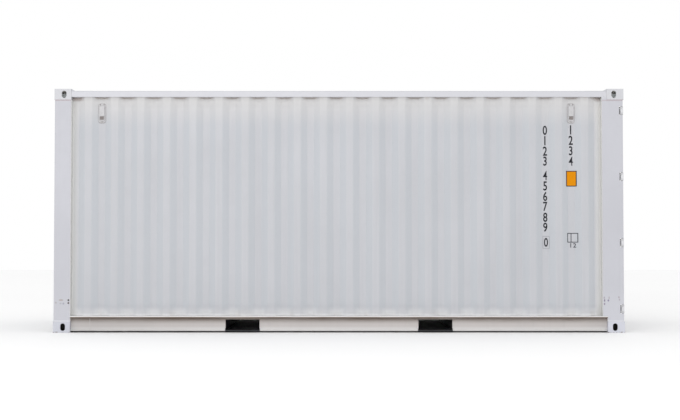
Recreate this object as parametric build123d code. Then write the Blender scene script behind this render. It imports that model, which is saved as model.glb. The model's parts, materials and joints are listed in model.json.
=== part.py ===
from build123d import *
import os

# Dry freight container, 20 ft long and 8 ft 6 in high. Millimetres, Z up.
# The origin is at the middle of the base. X is the length, with the doors at +X.
# Left and right are as seen by someone who faces the doors, so left is -Y.

# Overall size
LENGTH = 6058
WIDTH = 2438
HEIGHT = 2591

# Corner fittings
FIT_X = 178
FIT_Y = 162
FIT_Z = 118
FIT_WALL = 20
FIT_INNER_WALL = 12
FIT_PLATE = 19
TWIST_INSET_X = 102.5
TWIST_INSET_Y = 89.5
FIT_SLOT_LONG = 124
FIT_SLOT_WIDE = 63.5
FIT_SIDE_WIDE = 51
FIT_END_WIDE = 63.5
FIT_HOLE_HIGH = 79.5
FIT_POINT_SHARE = 0.45
FIT_POINT_WIDE = 18

# Setback behind the faces of the fittings
POST_INSET = 4
WALL_INSET = 8
ROOF_DROP = 6

# Posts
POST_PLATE = 6
POST_LIP = 48
REAR_POST_LONG = 230
REAR_EDGE_DROP = 8
REAR_FACE_DROP = 65
JAMB_DEEP = 113
JAMB_FLANGE = 40
JAMB_PLATE = 12

# Rails along the top and the base
TUBE_SIZE = 60
TUBE_WALL = 3
TUBE_DROP = 26
RAIL_HIGH = 158
RAIL_TOP_FLANGE = 48
RAIL_LOW_FLANGE = 30
RAIL_PLATE = 4.5
RAIL_LIP = 18
RAIL_LIFT = 16

# Corrugated side walls
SIDE_SHEET = 1.6
RIDGES = 20
RIDGE_MARGIN = 80
SLOPE_RUN = 68
RIDGE_SHARE = 0.507
WAVE_DEEP = 36

# Corrugated front wall
FRONT_SHEET = 2
FRONT_RIDGES = 8
FRONT_RIDGE_MARGIN = 93
FRONT_SLOPE_RUN = 20
FRONT_RIDGE_SHARE = 0.514
FRONT_WAVE_DEEP = 36

# Roof
ROOF_SHEET = 2
ROOF_MARGIN = 10
ROOF_RIDGES = 27
ROOF_RIDGE_MARGIN = 91
ROOF_RIDGE_WIDE = 91
ROOF_RIDGE_SLOPE = 20
ROOF_RIDGE_INSET = 120
ROOF_RIDGE_TAPER = 50
FITTING_GAP = 2
CORNER_PLATE = 3
CORNER_PLATE_LONG = 230
CORNER_PLATE_WIDE = 100
CORNER_PLATE_SLOPE = 40

# Floor and its cross members
FLOOR_THICK = 28
CROSS_LOW = 20
CROSS_HIGH = 122
CROSS_FLANGE = 45
CROSS_PLATE = 4
CROSS_PER_BAY = 6

# Fork pockets
POCKET_SPACING = 2050
POCKET_WIDE = 360
POCKET_HIGH = 115
POCKET_PLATE = 5
POCKET_STRAP = 200

# Ventilators
VENT_WIDE = 74
VENT_HIGH = 206
VENT_CHAMFER = 12
VENT_PLATE = 4
VENT_FOOT_WIDE = 66
VENT_FOOT_DEEP = 2
VENT_TOP_DROP = 153
VENT_COVER_WIDE = 58
VENT_COVER_DEEP = 17
VENT_COVER_TAPER = 14
VENT_TAB = 26
VENT_LIP = 17
VENT_MOUTH_WIDE = 44
VENT_MOUTH_HIGH = 38
VENT_MOUTH_DEEP = 12
VENT_MOUTH_UP = 14
VENT_VALLEY = 1

# End frame at the doors
END_SETBACK = 92
HEADER_DEEP = 80
HEADER_HIGH = 137
HEADER_PLATE = 4
SILL_PLATE = 4.5
SILL_FALL = 10
SILL_RETURN = 40

# Hinges
HINGES = 4
HINGE_LOW = 250
HINGE_DROP = 232
PIN_INSET = 17
PIN_R = 11
PIN_CLEAR = 0.5
PIN_OUT = 5
KNUCKLE_R = 15
KNUCKLE_SIDES = 8
BORE_SIDES = 12
BLADE_HIGH = 50
BLADE_THICK = 10
BLADE_END_GAP = 32
LUG_THICK = 12
LUG_WIDE = 20
LUG_GAP = 3
LUG_CLEAR = 0.3
NOTCH_DROP = 46
NOTCH_HIGH = 94

# Door leaves
LEAF_THICK = 50
LEAF_FACE_DROP = 87
LEAF_EDGE_GAP = 12
LEAF_MIDDLE_GAP = 32
STILE_WIDE = 100
LEAF_RAIL_HIGH = 150
LEAF_PLATE = 3
PANEL_SHEET = 2
PANEL_RIDGES = 5
PANEL_RIDGE_MARGIN = 122
PANEL_SLOPE_RUN = 20
PANEL_RIDGE_SHARE = 0.719
PANEL_DEEP = 34
GASKET_OUT = 7
GASKET_DEEP = 24
GASKET_BACK = 5

# Lock gear
ROD_R = 17
ROD_STANDOFF = 24
ROD_SHARES = (0.25, 0.75)
ROD_CLEAR = 0.5
BRACKET_HIGH = 40
BRACKET_WIDE = 96
BRACKET_PLATE = 5
COLLAR_SIDES = 8
CAM_R = 22
CAM_HIGH = 36
CAM_NOSE = 30
CAM_GAP = 6
KEEPER_PLATE = 12
KEEPER_DEEP = 44
KEEPER_GAP = 12
KEEPER_HIGH = 56
HANDLE_LONG = 430
HANDLE_HIGH = 34
HANDLE_THICK = 10
HANDLE_STEP = 8
HANDLE_STEP_FROM = 80
HANDLE_STEP_TO = 120
HANDLE_SHIFT = 55
HUB_R = 23
HUB_HIGH = 64
CATCH_WIDE = 60
CATCH_ABOVE = 45
CATCH_PLATE = 8
CATCH_LIP = 18
CATCH_LIP_GAP = 2
SEAT_GAP = 0.3

# Planes that follow from the sizes above
END = LENGTH / 2
SIDE = WIDTH / 2
TUBE_TOP = HEIGHT - TUBE_DROP
TUBE_LOW = TUBE_TOP - TUBE_SIZE
RAIL_TOP = RAIL_LIFT + RAIL_HIGH
RAIL_BACK = POST_INSET + RAIL_TOP_FLANGE
FLOOR_LOW = CROSS_LOW + CROSS_HIGH
FLOOR_TOP = FLOOR_LOW + FLOOR_THICK
POCKET_TOP = FLOOR_LOW - POCKET_PLATE
POCKET_BASE = POCKET_TOP - POCKET_HIGH
ROOF_TOP = HEIGHT - ROOF_DROP
FITTINGS_TOP_LOW = HEIGHT - FIT_Z
WALL_START = -END + FIT_X
WALL_END = END - REAR_POST_LONG
JAMB = SIDE - POST_INSET - POST_PLATE - JAMB_FLANGE
FITTING_INNER = SIDE - FIT_Y
TWIST_X = END - TWIST_INSET_X
TWIST_Y = SIDE - TWIST_INSET_Y
END_FACE = END - END_SETBACK
END_BACK = END_FACE - HEADER_DEEP
HEADER_LOW = ROOF_TOP - HEADER_HIGH
PIN_X = END - PIN_INSET
PIN_Y = SIDE - PIN_INSET
LEAF_FACE = END - LEAF_FACE_DROP
LEAF_BACK = LEAF_FACE - LEAF_THICK
LEAF_LOW = FLOOR_TOP + LEAF_EDGE_GAP
LEAF_HIGH = HEADER_LOW - LEAF_EDGE_GAP
LEAF_OUT = JAMB - LEAF_EDGE_GAP
LEAF_IN = LEAF_MIDDLE_GAP / 2
PANEL_LOW = LEAF_LOW + LEAF_RAIL_HIGH
PANEL_TOP = LEAF_HIGH - LEAF_RAIL_HIGH
ROD_X = LEAF_FACE + ROD_STANDOFF
CAM_LOW_Z = (RAIL_LIFT + FLOOR_TOP) / 2
CAM_TOP_Z = (HEADER_LOW + ROOF_TOP) / 2
HINGE_PITCH = (HEIGHT - HINGE_DROP - HINGE_LOW) / (HINGES - 1)
HINGE_HEIGHTS = [HINGE_LOW + HINGE_PITCH * n for n in range(HINGES)]
ROD_PLACES = [-LEAF_OUT + (LEAF_OUT - LEAF_IN) * share for share in ROD_SHARES]

# How many ridges a wall has, its margin, the run of a slope and the ridges' share of the flats
SIDE_WAVE = (RIDGES, RIDGE_MARGIN, SLOPE_RUN, RIDGE_SHARE)
FRONT_WAVE = (FRONT_RIDGES, FRONT_RIDGE_MARGIN, FRONT_SLOPE_RUN, FRONT_RIDGE_SHARE)
PANEL_WAVE = (PANEL_RIDGES, PANEL_RIDGE_MARGIN, PANEL_SLOPE_RUN, PANEL_RIDGE_SHARE)


def box_between(low, high):
    """A block given by its lowest and highest corners."""
    sizes = [b - a for a, b in zip(low, high)]
    return Pos(*low) * Box(*sizes, align=(Align.MIN, Align.MIN, Align.MIN))


def along_x(face, start, stop):
    """A profile drawn in Y and Z, carried along X."""
    return extrude(Plane.YZ.offset(start) * face, amount=stop - start)


def along_y(face, start, stop):
    """A profile drawn in X and Z, carried along Y."""
    return extrude(Plane.XZ.offset(-stop) * face, amount=stop - start)


def along_z(face, start, stop):
    """A profile drawn in X and Y, carried along Z."""
    return extrude(Plane.XY.offset(start) * face, amount=stop - start)


def around(face, middle, high):
    """A profile drawn in X and Y, carried along Z to both sides of a height."""
    return along_z(face, middle - high / 2, middle + high / 2)


def mitre(before, here, after):
    """The sideways step at a point, for a strip of unit half thickness."""
    ways = [here - before, after - here]
    sides = [Vector(-way.Y, way.X).normalized() for way in ways if way.length]
    if len(sides) == 1:
        return sides[0]
    return (sides[0] + sides[1]) * (1 / (1 + sides[0].dot(sides[1])))


def strip(points, thick):
    """The section of a folded sheet whose middle runs through the points."""
    line = [Vector(*point) for point in points]
    before = line[:1] + line[:-1]
    after = line[1:] + line[-1:]
    steps = [mitre(*trio) * (thick / 2) for trio in zip(before, line, after)]
    left = [point + step for point, step in zip(line, steps)]
    right = [point - step for point, step in zip(line, steps)]
    return make_face(Polyline(*left, *right[::-1], close=True))


def pitch_of(length, count, margin, slope, share):
    """The distance between ridges that are spaced evenly between two margins."""
    flats = length - 2 * margin - 2 * count * slope
    return flats / (count - 1 + share) + 2 * slope


def wave(length, count, margin, slope, share, deep):
    """Trapezoid waves along a length: ridges at 0, valleys and both ends at deep."""
    pitch = pitch_of(length, count, margin, slope, share)
    ridge = (pitch - 2 * slope) * share
    points = [(0, deep)]
    for number in range(count):
        start = margin + number * pitch
        points.append((start, deep))
        points.append((start + slope, 0))
        points.append((start + slope + ridge, 0))
        points.append((start + 2 * slope + ridge, deep))
    points.append((length, deep))
    return points


def trapezoid(wide, slope, low, high):
    """A section that narrows upwards by the slope's run on both sides."""
    half = wide / 2
    outline = Polyline(
        (-half, low), (half, low), (half - slope, high), (slope - half, high), close=True
    )
    return make_face(outline)


def flat_sided(radius, sides):
    """A regular section with flats at the radius, and one of them across Y."""
    return RegularPolygon(radius, sides, major_radius=False, rotation=180 / sides)


def flip_side(shape):
    """The same piece on the other long side."""
    return mirror(shape, about=Plane.XZ)


def flip_end(shape):
    """The same piece at the other end."""
    return mirror(shape, about=Plane.YZ)


def both_sides(shape):
    """A left piece and its twin on the right, as solids that don't touch."""
    return Compound(children=shape.solids() + flip_side(shape).solids())


def shield(wide, high):
    """A hole with a round head and a narrowed foot."""
    half = wide / 2
    shoulder = half - high * (1 - FIT_POINT_SHARE)
    foot = FIT_POINT_WIDE / 2
    head = ThreePointArc((-half, high / 2 - half), (0, high / 2), (half, high / 2 - half))
    sides = Polyline(
        (half, high / 2 - half),
        (half, shoulder),
        (foot, -high / 2),
        (-foot, -high / 2),
        (-half, shoulder),
        (-half, high / 2 - half),
    )
    return make_face(head.edges() + sides.edges())


def fitting(top):
    """The hollow casting at the front left corner, with its three apertures."""
    base = HEIGHT - FIT_Z if top else 0
    corner = (-END, -SIDE, base)
    far_corner = (-END + FIT_X, -SIDE + FIT_Y, base + FIT_Z)
    hollow_low = (-END + FIT_WALL, -SIDE + FIT_WALL, base + FIT_PLATE)
    hollow_high = [value - FIT_INNER_WALL for value in far_corner[:2]]
    hollow_high.append(base + FIT_Z - FIT_PLATE)
    middle = base + FIT_Z / 2
    if top:
        side_hole = shield(FIT_SIDE_WIDE, FIT_HOLE_HIGH)
        end_hole = shield(FIT_END_WIDE, FIT_HOLE_HIGH)
        twist_start = middle
    else:
        side_hole = Rot(0, 0, 90) * SlotOverall(FIT_HOLE_HIGH, FIT_SIDE_WIDE)
        end_hole = Rot(0, 0, 90) * SlotOverall(FIT_HOLE_HIGH, FIT_END_WIDE)
        twist_start = middle - FIT_Z
    twist = Pos(-TWIST_X, -TWIST_Y) * SlotOverall(FIT_SLOT_LONG, FIT_SLOT_WIDE)
    block = box_between(corner, far_corner)
    block -= box_between(hollow_low, hollow_high)
    block -= along_z(twist, twist_start, twist_start + FIT_Z)
    block -= along_y(Pos(-TWIST_X, middle) * side_hole, -SIDE, -TWIST_Y)
    block -= along_x(Pos(-TWIST_Y, middle) * end_hole, -END, -TWIST_X)
    return block


def fitting_room():
    """The space of all eight fittings, which other pieces keep out of."""
    inner = FITTING_INNER
    room = []
    for base in (0, HEIGHT - FIT_Z):
        for x in (-END, END - FIT_X):
            for y in (-SIDE, inner):
                room.append(box_between((x, y, base), (x + FIT_X, y + FIT_Y, base + FIT_Z)))
    return room


def front_post():
    """The pressed post at the front left, open towards the inside."""
    mid = POST_INSET + POST_PLATE / 2
    edge_x = FIT_X - POST_PLATE / 2
    edge_y = FIT_Y - POST_PLATE / 2
    spots = [(POST_LIP, edge_y), (mid, edge_y), (mid, mid), (edge_x, mid), (edge_x, POST_LIP)]
    points = [(-END + x, -SIDE + y) for x, y in spots]
    return along_z(strip(points, POST_PLATE), FIT_Z, FITTINGS_TOP_LOW)


def notches():
    """Room for the hinge knuckles in the outer plate of the rear post."""
    half = NOTCH_HIGH / 2
    low_y = -SIDE
    high_y = -SIDE + POST_INSET + POST_PLATE
    return [
        box_between((END - NOTCH_DROP, low_y, z - half), (END, high_y, z + half))
        for z in HINGE_HEIGHTS
    ]


def rear_post():
    """The post at the left of the doors: a pressed outer plate on a thick channel."""
    mid = -SIDE + POST_INSET + POST_PLATE / 2
    plate_back = -SIDE + POST_INSET + POST_PLATE
    lip_x = WALL_END + POST_PLATE / 2
    outer = [(lip_x, -SIDE + POST_LIP), (lip_x, mid), (END - REAR_EDGE_DROP, mid)]
    rear = END - REAR_FACE_DROP - JAMB_PLATE / 2
    front = END - REAR_FACE_DROP - JAMB_DEEP + JAMB_PLATE / 2
    web = -JAMB - JAMB_PLATE / 2
    channel = [(rear, plate_back), (rear, web), (front, web), (front, plate_back)]
    post = along_z(strip(outer, POST_PLATE), FIT_Z, TUBE_LOW)
    post += along_z(strip(channel, JAMB_PLATE), FIT_Z, TUBE_LOW)
    fitting_start = END - FIT_X
    post -= box_between((WALL_END, -SIDE, FIT_Z), (fitting_start, 0, RAIL_TOP))
    post -= box_between((fitting_start, -SIDE, FITTINGS_TOP_LOW), (END, 0, TUBE_LOW))
    for notch in notches():
        post -= notch
    return post


def tube_section():
    """The square tube of the top rails and the front header."""
    bore = TUBE_SIZE - 2 * TUBE_WALL
    return Rectangle(TUBE_SIZE, TUBE_SIZE) - Rectangle(bore, bore)


def top_rail():
    section = Pos(-SIDE + POST_INSET + TUBE_SIZE / 2, (TUBE_TOP + TUBE_LOW) / 2) * tube_section()
    return along_x(section, -END + FIT_X, END - FIT_X)


def front_header():
    section = Pos(-END + POST_INSET + TUBE_SIZE / 2, (TUBE_TOP + TUBE_LOW) / 2) * tube_section()
    return along_y(section, -FITTING_INNER, FITTING_INNER)


def rail_points(edge):
    """The middle of the lipped channel of the base, open towards the outside."""
    half = RAIL_PLATE / 2
    lip = edge + POST_INSET + half
    web = edge + RAIL_BACK - half
    low = edge + RAIL_BACK - RAIL_LOW_FLANGE
    return [
        (lip, RAIL_TOP - RAIL_LIP),
        (lip, RAIL_TOP - half),
        (web, RAIL_TOP - half),
        (web, RAIL_LIFT + half),
        (low, RAIL_LIFT + half),
    ]


def pocket_places():
    return [-POCKET_SPACING / 2, POCKET_SPACING / 2]


def bottom_rail():
    """The left base rail, in three lengths with a fork pocket between each two."""
    section = strip(rail_points(-SIDE), RAIL_PLATE)
    half = POCKET_WIDE / 2
    first, second = pocket_places()
    lengths = [
        (-END + FIT_X, first - half),
        (first + half, second - half),
        (second + half, END - FIT_X),
    ]
    return Compound(children=[along_x(section, *ends).solids()[0] for ends in lengths])


def rail_bridges():
    """The strips of rail above and below each fork pocket, welded between the lengths."""
    section = strip(rail_points(-SIDE), RAIL_PLATE)
    web = -SIDE + RAIL_BACK
    half = POCKET_WIDE / 2
    pieces = []
    for x in pocket_places():
        mouth = box_between((x - half, web - RAIL_PLATE, POCKET_BASE), (x + half, web, POCKET_TOP))
        pieces += both_sides(along_x(section, x - half, x + half) - mouth).solids()
    return Compound(children=pieces)


def front_sill():
    return along_y(strip(rail_points(-END), RAIL_PLATE), -FITTING_INNER, FITTING_INNER)


def side_wall():
    """The left wall, one corrugated sheet between the posts and the rails."""
    middle = -SIDE + WALL_INSET + SIDE_SHEET / 2
    line = wave(WALL_END - WALL_START, *SIDE_WAVE, WAVE_DEEP)
    points = [(WALL_START + along, middle + deep) for along, deep in line]
    return along_z(strip(points, SIDE_SHEET), RAIL_TOP, TUBE_LOW)


def front_wall():
    """The corrugated sheet between the front posts."""
    middle = -END + WALL_INSET + FRONT_SHEET / 2
    line = wave(2 * FITTING_INNER, *FRONT_WAVE, FRONT_WAVE_DEEP)
    points = [(middle + deep, -FITTING_INNER + along) for along, deep in line]
    return along_z(strip(points, FRONT_SHEET), RAIL_TOP, TUBE_LOW)


def roof_ridge(lift):
    """One pressed ridge: a block that narrows upwards to all four sides."""
    low = TUBE_TOP + lift
    high = ROOF_TOP - ROOF_SHEET + lift
    short = trapezoid(ROOF_RIDGE_WIDE, ROOF_RIDGE_SLOPE, low, high)
    long = trapezoid(WIDTH - 2 * ROOF_RIDGE_INSET, ROOF_RIDGE_TAPER, low, high)
    return along_y(short, -SIDE, SIDE) & along_x(long, -END, END)


def roof_panel():
    """The roof sheet: flat margins and a row of ridges across the width."""
    low = (WALL_START + FITTING_GAP, -SIDE + ROOF_MARGIN, TUBE_TOP)
    high = (END_BACK, SIDE - ROOF_MARGIN, TUBE_TOP + ROOF_SHEET)
    first = WALL_START + ROOF_RIDGE_MARGIN + ROOF_RIDGE_WIDE / 2
    last = END_BACK - ROOF_RIDGE_MARGIN - ROOF_RIDGE_WIDE / 2
    pitch = (last - first) / (ROOF_RIDGES - 1)
    places = [Pos(first + pitch * number, 0) for number in range(ROOF_RIDGES)]
    outer = roof_ridge(ROOF_SHEET)
    inner = roof_ridge(0)
    sheet = box_between(low, high)
    sheet += [place * outer for place in places]
    sheet -= [place * inner for place in places]
    room_x = END - FIT_X - FITTING_GAP
    room_y = FITTING_INNER - FITTING_GAP
    room = box_between((room_x, room_y, TUBE_TOP), (END, SIDE, HEIGHT))
    return sheet - room - flip_side(room)


def front_plate():
    """The flat plate over the front header, between the two top fittings."""
    wide = FITTING_INNER - FITTING_GAP
    low = (-END + ROOF_MARGIN, -wide, TUBE_TOP)
    return box_between(low, (WALL_START + FITTING_GAP, wide, TUBE_TOP + CORNER_PLATE))


def corner_plate():
    """The bent plate on the roof beside the front left fitting."""
    start = -END + FIT_X
    half = CORNER_PLATE / 2
    flat = TUBE_TOP + ROOF_SHEET + half
    points = [
        (start, HEIGHT - ROOF_DROP - half),
        (start + CORNER_PLATE_SLOPE, flat),
        (start + CORNER_PLATE_LONG, flat),
    ]
    outer = -SIDE + ROOF_MARGIN
    plate = along_y(strip(points, CORNER_PLATE), outer, outer + CORNER_PLATE_WIDE)
    return plate - box_between((-END, -SIDE, TUBE_LOW), (start, 0, HEIGHT))


def roof_plates():
    plate = corner_plate()
    four = [plate, flip_side(plate), flip_end(plate), flip_side(flip_end(plate))]
    return Compound(children=[piece.solids()[0] for piece in four + [front_plate()]])


def floor_boards():
    back = SIDE - RAIL_BACK
    return box_between((-END + RAIL_BACK, -back, FLOOR_LOW), (END_BACK, back, FLOOR_TOP))


def cross_member(x):
    """A channel under the floor, from rail to rail, that opens towards the front."""
    half = CROSS_PLATE / 2
    web = x + CROSS_FLANGE / 2 - half
    edge = x - CROSS_FLANGE / 2
    low = CROSS_LOW + half
    high = FLOOR_LOW - half
    points = [(edge, low), (web, low), (web, high), (edge, high)]
    back = SIDE - RAIL_BACK
    return along_y(strip(points, CROSS_PLATE), -back, back)


def cross_members():
    """Evenly spaced channels in the three bays that the fork pockets leave."""
    half = POCKET_WIDE / 2 + POCKET_PLATE
    first, second = pocket_places()
    bays = [
        (-END + FIT_X, first - half),
        (first + half, second - half),
        (second + half, END_BACK),
    ]
    pieces = []
    for start, stop in bays:
        pitch = (stop - start) / CROSS_PER_BAY
        for number in range(CROSS_PER_BAY):
            pieces += cross_member(start + pitch * (number + 0.5)).solids()
    return Compound(children=pieces)


def fork_pocket_sides():
    """The upright plates of both pockets, from rail to rail."""
    inner = POCKET_WIDE / 2
    back = SIDE - RAIL_BACK
    pieces = []
    for x in pocket_places():
        for edge in (x - inner - POCKET_PLATE, x + inner):
            high = (edge + POCKET_PLATE, back, FLOOR_LOW)
            pieces += box_between((edge, -back, POCKET_BASE), high).solids()
    return Compound(children=pieces)


def fork_pocket_plates():
    """The top of each pocket, and a strap under each of its ends."""
    inner = POCKET_WIDE / 2
    outer = inner + POCKET_PLATE
    back = SIDE - RAIL_BACK
    pieces = []
    for x in pocket_places():
        pieces += box_between((x - inner, -back, POCKET_TOP), (x + inner, back, FLOOR_LOW)).solids()
        low = (x - outer, -back, POCKET_BASE - POCKET_PLATE)
        high = (x + outer, -back + POCKET_STRAP, POCKET_BASE)
        pieces += both_sides(box_between(low, high)).solids()
    return Compound(children=pieces)


def ventilator(x):
    """A cover with sloping sides on a plate, with a mouth near its lower end."""
    valley = -SIDE + WALL_INSET + WAVE_DEEP
    back = valley - VENT_FOOT_DEEP
    seat = back - VENT_PLATE
    front = seat - VENT_COVER_DEEP
    top = HEIGHT - VENT_TOP_DROP
    low = top - VENT_HIGH
    cover_low = low + VENT_LIP
    cover_high = top - VENT_TAB
    middle = Pos(x, (low + top) / 2)
    plate = Rectangle(VENT_WIDE, VENT_HIGH)
    plate = middle * chamfer(plate.vertices(), VENT_CHAMFER)
    foot = middle * Rectangle(VENT_FOOT_WIDE, VENT_HIGH - 2 * VENT_CHAMFER)
    cover = Pos(x, (cover_low + cover_high) / 2) * Rectangle(
        VENT_COVER_WIDE, cover_high - cover_low
    )
    mouth_z = cover_low + VENT_MOUTH_UP + VENT_MOUTH_HIGH / 2
    mouth = Pos(x, mouth_z) * Rectangle(VENT_MOUTH_WIDE, VENT_MOUTH_HIGH)
    body = along_y(plate, seat, back) + along_y(foot, back, valley)
    body += extrude(Plane.XZ.offset(-seat) * cover, VENT_COVER_DEEP, taper=VENT_COVER_TAPER)
    body -= along_y(mouth, front, front + VENT_MOUTH_DEEP)
    return body


def ventilators():
    """One near each end of both walls, in the valleys next to the outer ridges."""
    pitch = pitch_of(WALL_END - WALL_START, *SIDE_WAVE)
    middle = (WALL_START + WALL_END) / 2
    reach = pitch * (RIDGES / 2 - VENT_VALLEY)
    pieces = []
    for x in (middle - reach, middle + reach):
        pieces += both_sides(ventilator(x)).solids()
    return Compound(children=pieces)


def door_header():
    """The hollow beam over the doors, cut around the fittings."""
    deep = HEADER_DEEP / 2
    section = Rectangle(HEADER_DEEP, HEADER_HIGH)
    section -= Rectangle(HEADER_DEEP - 2 * HEADER_PLATE, HEADER_HIGH - 2 * HEADER_PLATE)
    section = Pos(END_BACK + deep, (ROOF_TOP + HEADER_LOW) / 2) * section
    beam = along_y(section, -JAMB, JAMB)
    for room in fitting_room():
        beam -= room
    return beam


def door_sill():
    """The folded sill under the doors, with a top that falls towards the outside."""
    half = SILL_PLATE / 2
    inner = END_BACK + half
    outer = END_FACE - half
    points = [
        (inner, CROSS_LOW),
        (inner, FLOOR_TOP - half),
        (outer, FLOOR_TOP - half - SILL_FALL),
        (outer, RAIL_LIFT + half),
        (END_FACE - SILL_RETURN, RAIL_LIFT + half),
    ]
    beam = along_y(strip(points, SILL_PLATE), -JAMB, JAMB)
    for room in fitting_room():
        beam -= room
    return beam


def knuckle():
    """The eye of a hinge plate around its pin, cut with flat sides."""
    return Pos(PIN_X, -PIN_Y) * flat_sided(KNUCKLE_R, KNUCKLE_SIDES)


def hinge_lugs():
    """Two plates for each hinge pin, welded into the corner of the rear post."""
    post_face = END - REAR_FACE_DROP
    plate_back = -SIDE + POST_INSET + POST_PLATE
    arm = Polyline(
        (post_face, plate_back),
        (PIN_X, plate_back),
        (PIN_X, plate_back + LUG_WIDE),
        (post_face, plate_back + LUG_WIDE),
        close=True,
    )
    bore = Pos(PIN_X, -PIN_Y) * flat_sided(PIN_R + LUG_CLEAR, BORE_SIDES)
    section = make_face(arm) + knuckle() - bore
    first = BLADE_HIGH / 2 + LUG_GAP
    pieces = []
    for z in HINGE_HEIGHTS:
        pieces += along_z(section, z + first, z + first + LUG_THICK).solids()
        pieces += along_z(section, z - first - LUG_THICK, z - first).solids()
    left = Compound(children=pieces)
    return both_sides(left)


def hinge_pins():
    """A round pin through each pair of lugs, a little longer than they reach."""
    reach = BLADE_HIGH / 2 + LUG_GAP + LUG_THICK + PIN_OUT
    circle = Pos(PIN_X, -PIN_Y) * Circle(PIN_R)
    pieces = []
    for z in HINGE_HEIGHTS:
        pieces += along_z(circle, z - reach, z + reach).solids()
    left = Compound(children=pieces)
    return both_sides(left)


def hinge_blades():
    """Gooseneck blades that carry the leaf in front of the post."""
    flat = LEAF_FACE + BLADE_THICK / 2
    run = PIN_X - flat
    end = ROD_PLACES[0] - BRACKET_WIDE / 2 - BLADE_END_GAP
    points = [(PIN_X, -PIN_Y), (flat, -PIN_Y + run), (flat, end)]
    bore = Pos(PIN_X, -PIN_Y) * flat_sided(PIN_R + PIN_CLEAR, BORE_SIDES)
    section = strip(points, BLADE_THICK) + knuckle() - bore
    half = BLADE_HIGH / 2
    pieces = []
    for z in HINGE_HEIGHTS:
        pieces += along_z(section, z - half, z + half).solids()
    return Compound(children=pieces)


def leaf_frame():
    """Hollow stiles and rails, welded into one frame."""
    stile = Rectangle(LEAF_THICK, STILE_WIDE)
    stile -= Rectangle(LEAF_THICK - 2 * LEAF_PLATE, STILE_WIDE - 2 * LEAF_PLATE)
    rail = Rectangle(LEAF_THICK, LEAF_RAIL_HIGH)
    rail -= Rectangle(LEAF_THICK - 2 * LEAF_PLATE, LEAF_RAIL_HIGH - 2 * LEAF_PLATE)
    middle = LEAF_BACK + LEAF_THICK / 2
    outer = -LEAF_OUT + STILE_WIDE
    inner = -LEAF_IN - STILE_WIDE
    frame = along_z(Pos(middle, outer - STILE_WIDE / 2) * stile, LEAF_LOW, LEAF_HIGH)
    frame += along_z(Pos(middle, inner + STILE_WIDE / 2) * stile, LEAF_LOW, LEAF_HIGH)
    frame += along_y(Pos(middle, PANEL_LOW - LEAF_RAIL_HIGH / 2) * rail, outer, inner)
    frame += along_y(Pos(middle, PANEL_TOP + LEAF_RAIL_HIGH / 2) * rail, outer, inner)
    return frame


def leaf_panel():
    """The pressed sheet of the leaf, with ridges that run across it."""
    middle = LEAF_FACE - PANEL_SHEET / 2
    line = wave(PANEL_TOP - PANEL_LOW, *PANEL_WAVE, PANEL_DEEP)
    points = [(middle - deep, PANEL_LOW + along) for along, deep in line]
    return along_y(strip(points, PANEL_SHEET), -LEAF_OUT + STILE_WIDE, -LEAF_IN - STILE_WIDE)


def leaf_gasket():
    """The rubber seal around the four edges of the leaf."""
    back = LEAF_BACK + GASKET_BACK
    front = back + GASKET_DEEP
    low = (back, -LEAF_OUT, LEAF_LOW)
    high = (front, -LEAF_IN, LEAF_HIGH)
    grow = GASKET_OUT
    outer_low = (back, -LEAF_OUT - grow, LEAF_LOW - grow)
    outer_high = (front, -LEAF_IN + grow, LEAF_HIGH + grow)
    return box_between(outer_low, outer_high) - box_between(low, high)


def collar(radius, y):
    """An eight-sided section around a lock rod."""
    return Pos(ROD_X, y) * flat_sided(radius, COLLAR_SIDES)


def cam_section(y):
    """A cam in plan: a collar with a blunt nose towards the beam behind it."""
    nose = Polyline(
        (END_FACE + CAM_GAP, y - CAM_NOSE / 2),
        (ROD_X, y - CAM_R),
        (ROD_X, y + CAM_R),
        (END_FACE + CAM_GAP, y + CAM_NOSE / 2),
        close=True,
    )
    return make_face(nose) + collar(CAM_R, y)


def lock_rods():
    """Two upright bars, each with a cam at both ends and a collar for its handle."""
    pieces = []
    for y, handle_z in zip(ROD_PLACES, handle_heights()):
        bar = along_z(Pos(ROD_X, y) * Circle(ROD_R), CAM_LOW_Z, CAM_TOP_Z)
        bar += around(collar(HUB_R, y), handle_z, HUB_HIGH)
        for z in (CAM_LOW_Z, CAM_TOP_Z):
            bar += around(cam_section(y), z, CAM_HIGH)
        pieces += bar.solids()
    return Compound(children=pieces)


def ridge_middle(number):
    """The height of the middle of a ridge of the leaf's panel."""
    middle = (PANEL_LOW + PANEL_TOP) / 2
    pitch = pitch_of(PANEL_TOP - PANEL_LOW, *PANEL_WAVE)
    return middle + pitch * (number - (PANEL_RIDGES - 1) / 2)


def rod_brackets():
    """Bent straps that hold the lock rods to the rails and to two ridges of the panel."""
    heights = [
        PANEL_LOW - LEAF_RAIL_HIGH / 2,
        ridge_middle(1),
        ridge_middle(3),
        PANEL_TOP + LEAF_RAIL_HIGH / 2,
    ]
    back = LEAF_FACE + BRACKET_PLATE / 2
    reach = ROD_R + ROD_CLEAR + BRACKET_PLATE / 2
    front = ROD_X + reach
    pieces = []
    for y in ROD_PLACES:
        points = [
            (back, y - BRACKET_WIDE / 2),
            (back, y - reach),
            (front, y - reach),
            (front, y + reach),
            (back, y + reach),
            (back, y + BRACKET_WIDE / 2),
        ]
        section = strip(points, BRACKET_PLATE)
        for z in heights:
            pieces += around(section, z, BRACKET_HIGH).solids()
    return Compound(children=pieces)


def handle_heights():
    middle = ridge_middle((PANEL_RIDGES - 1) // 2)
    return [middle - HANDLE_SHIFT, middle + HANDLE_SHIFT]


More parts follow.
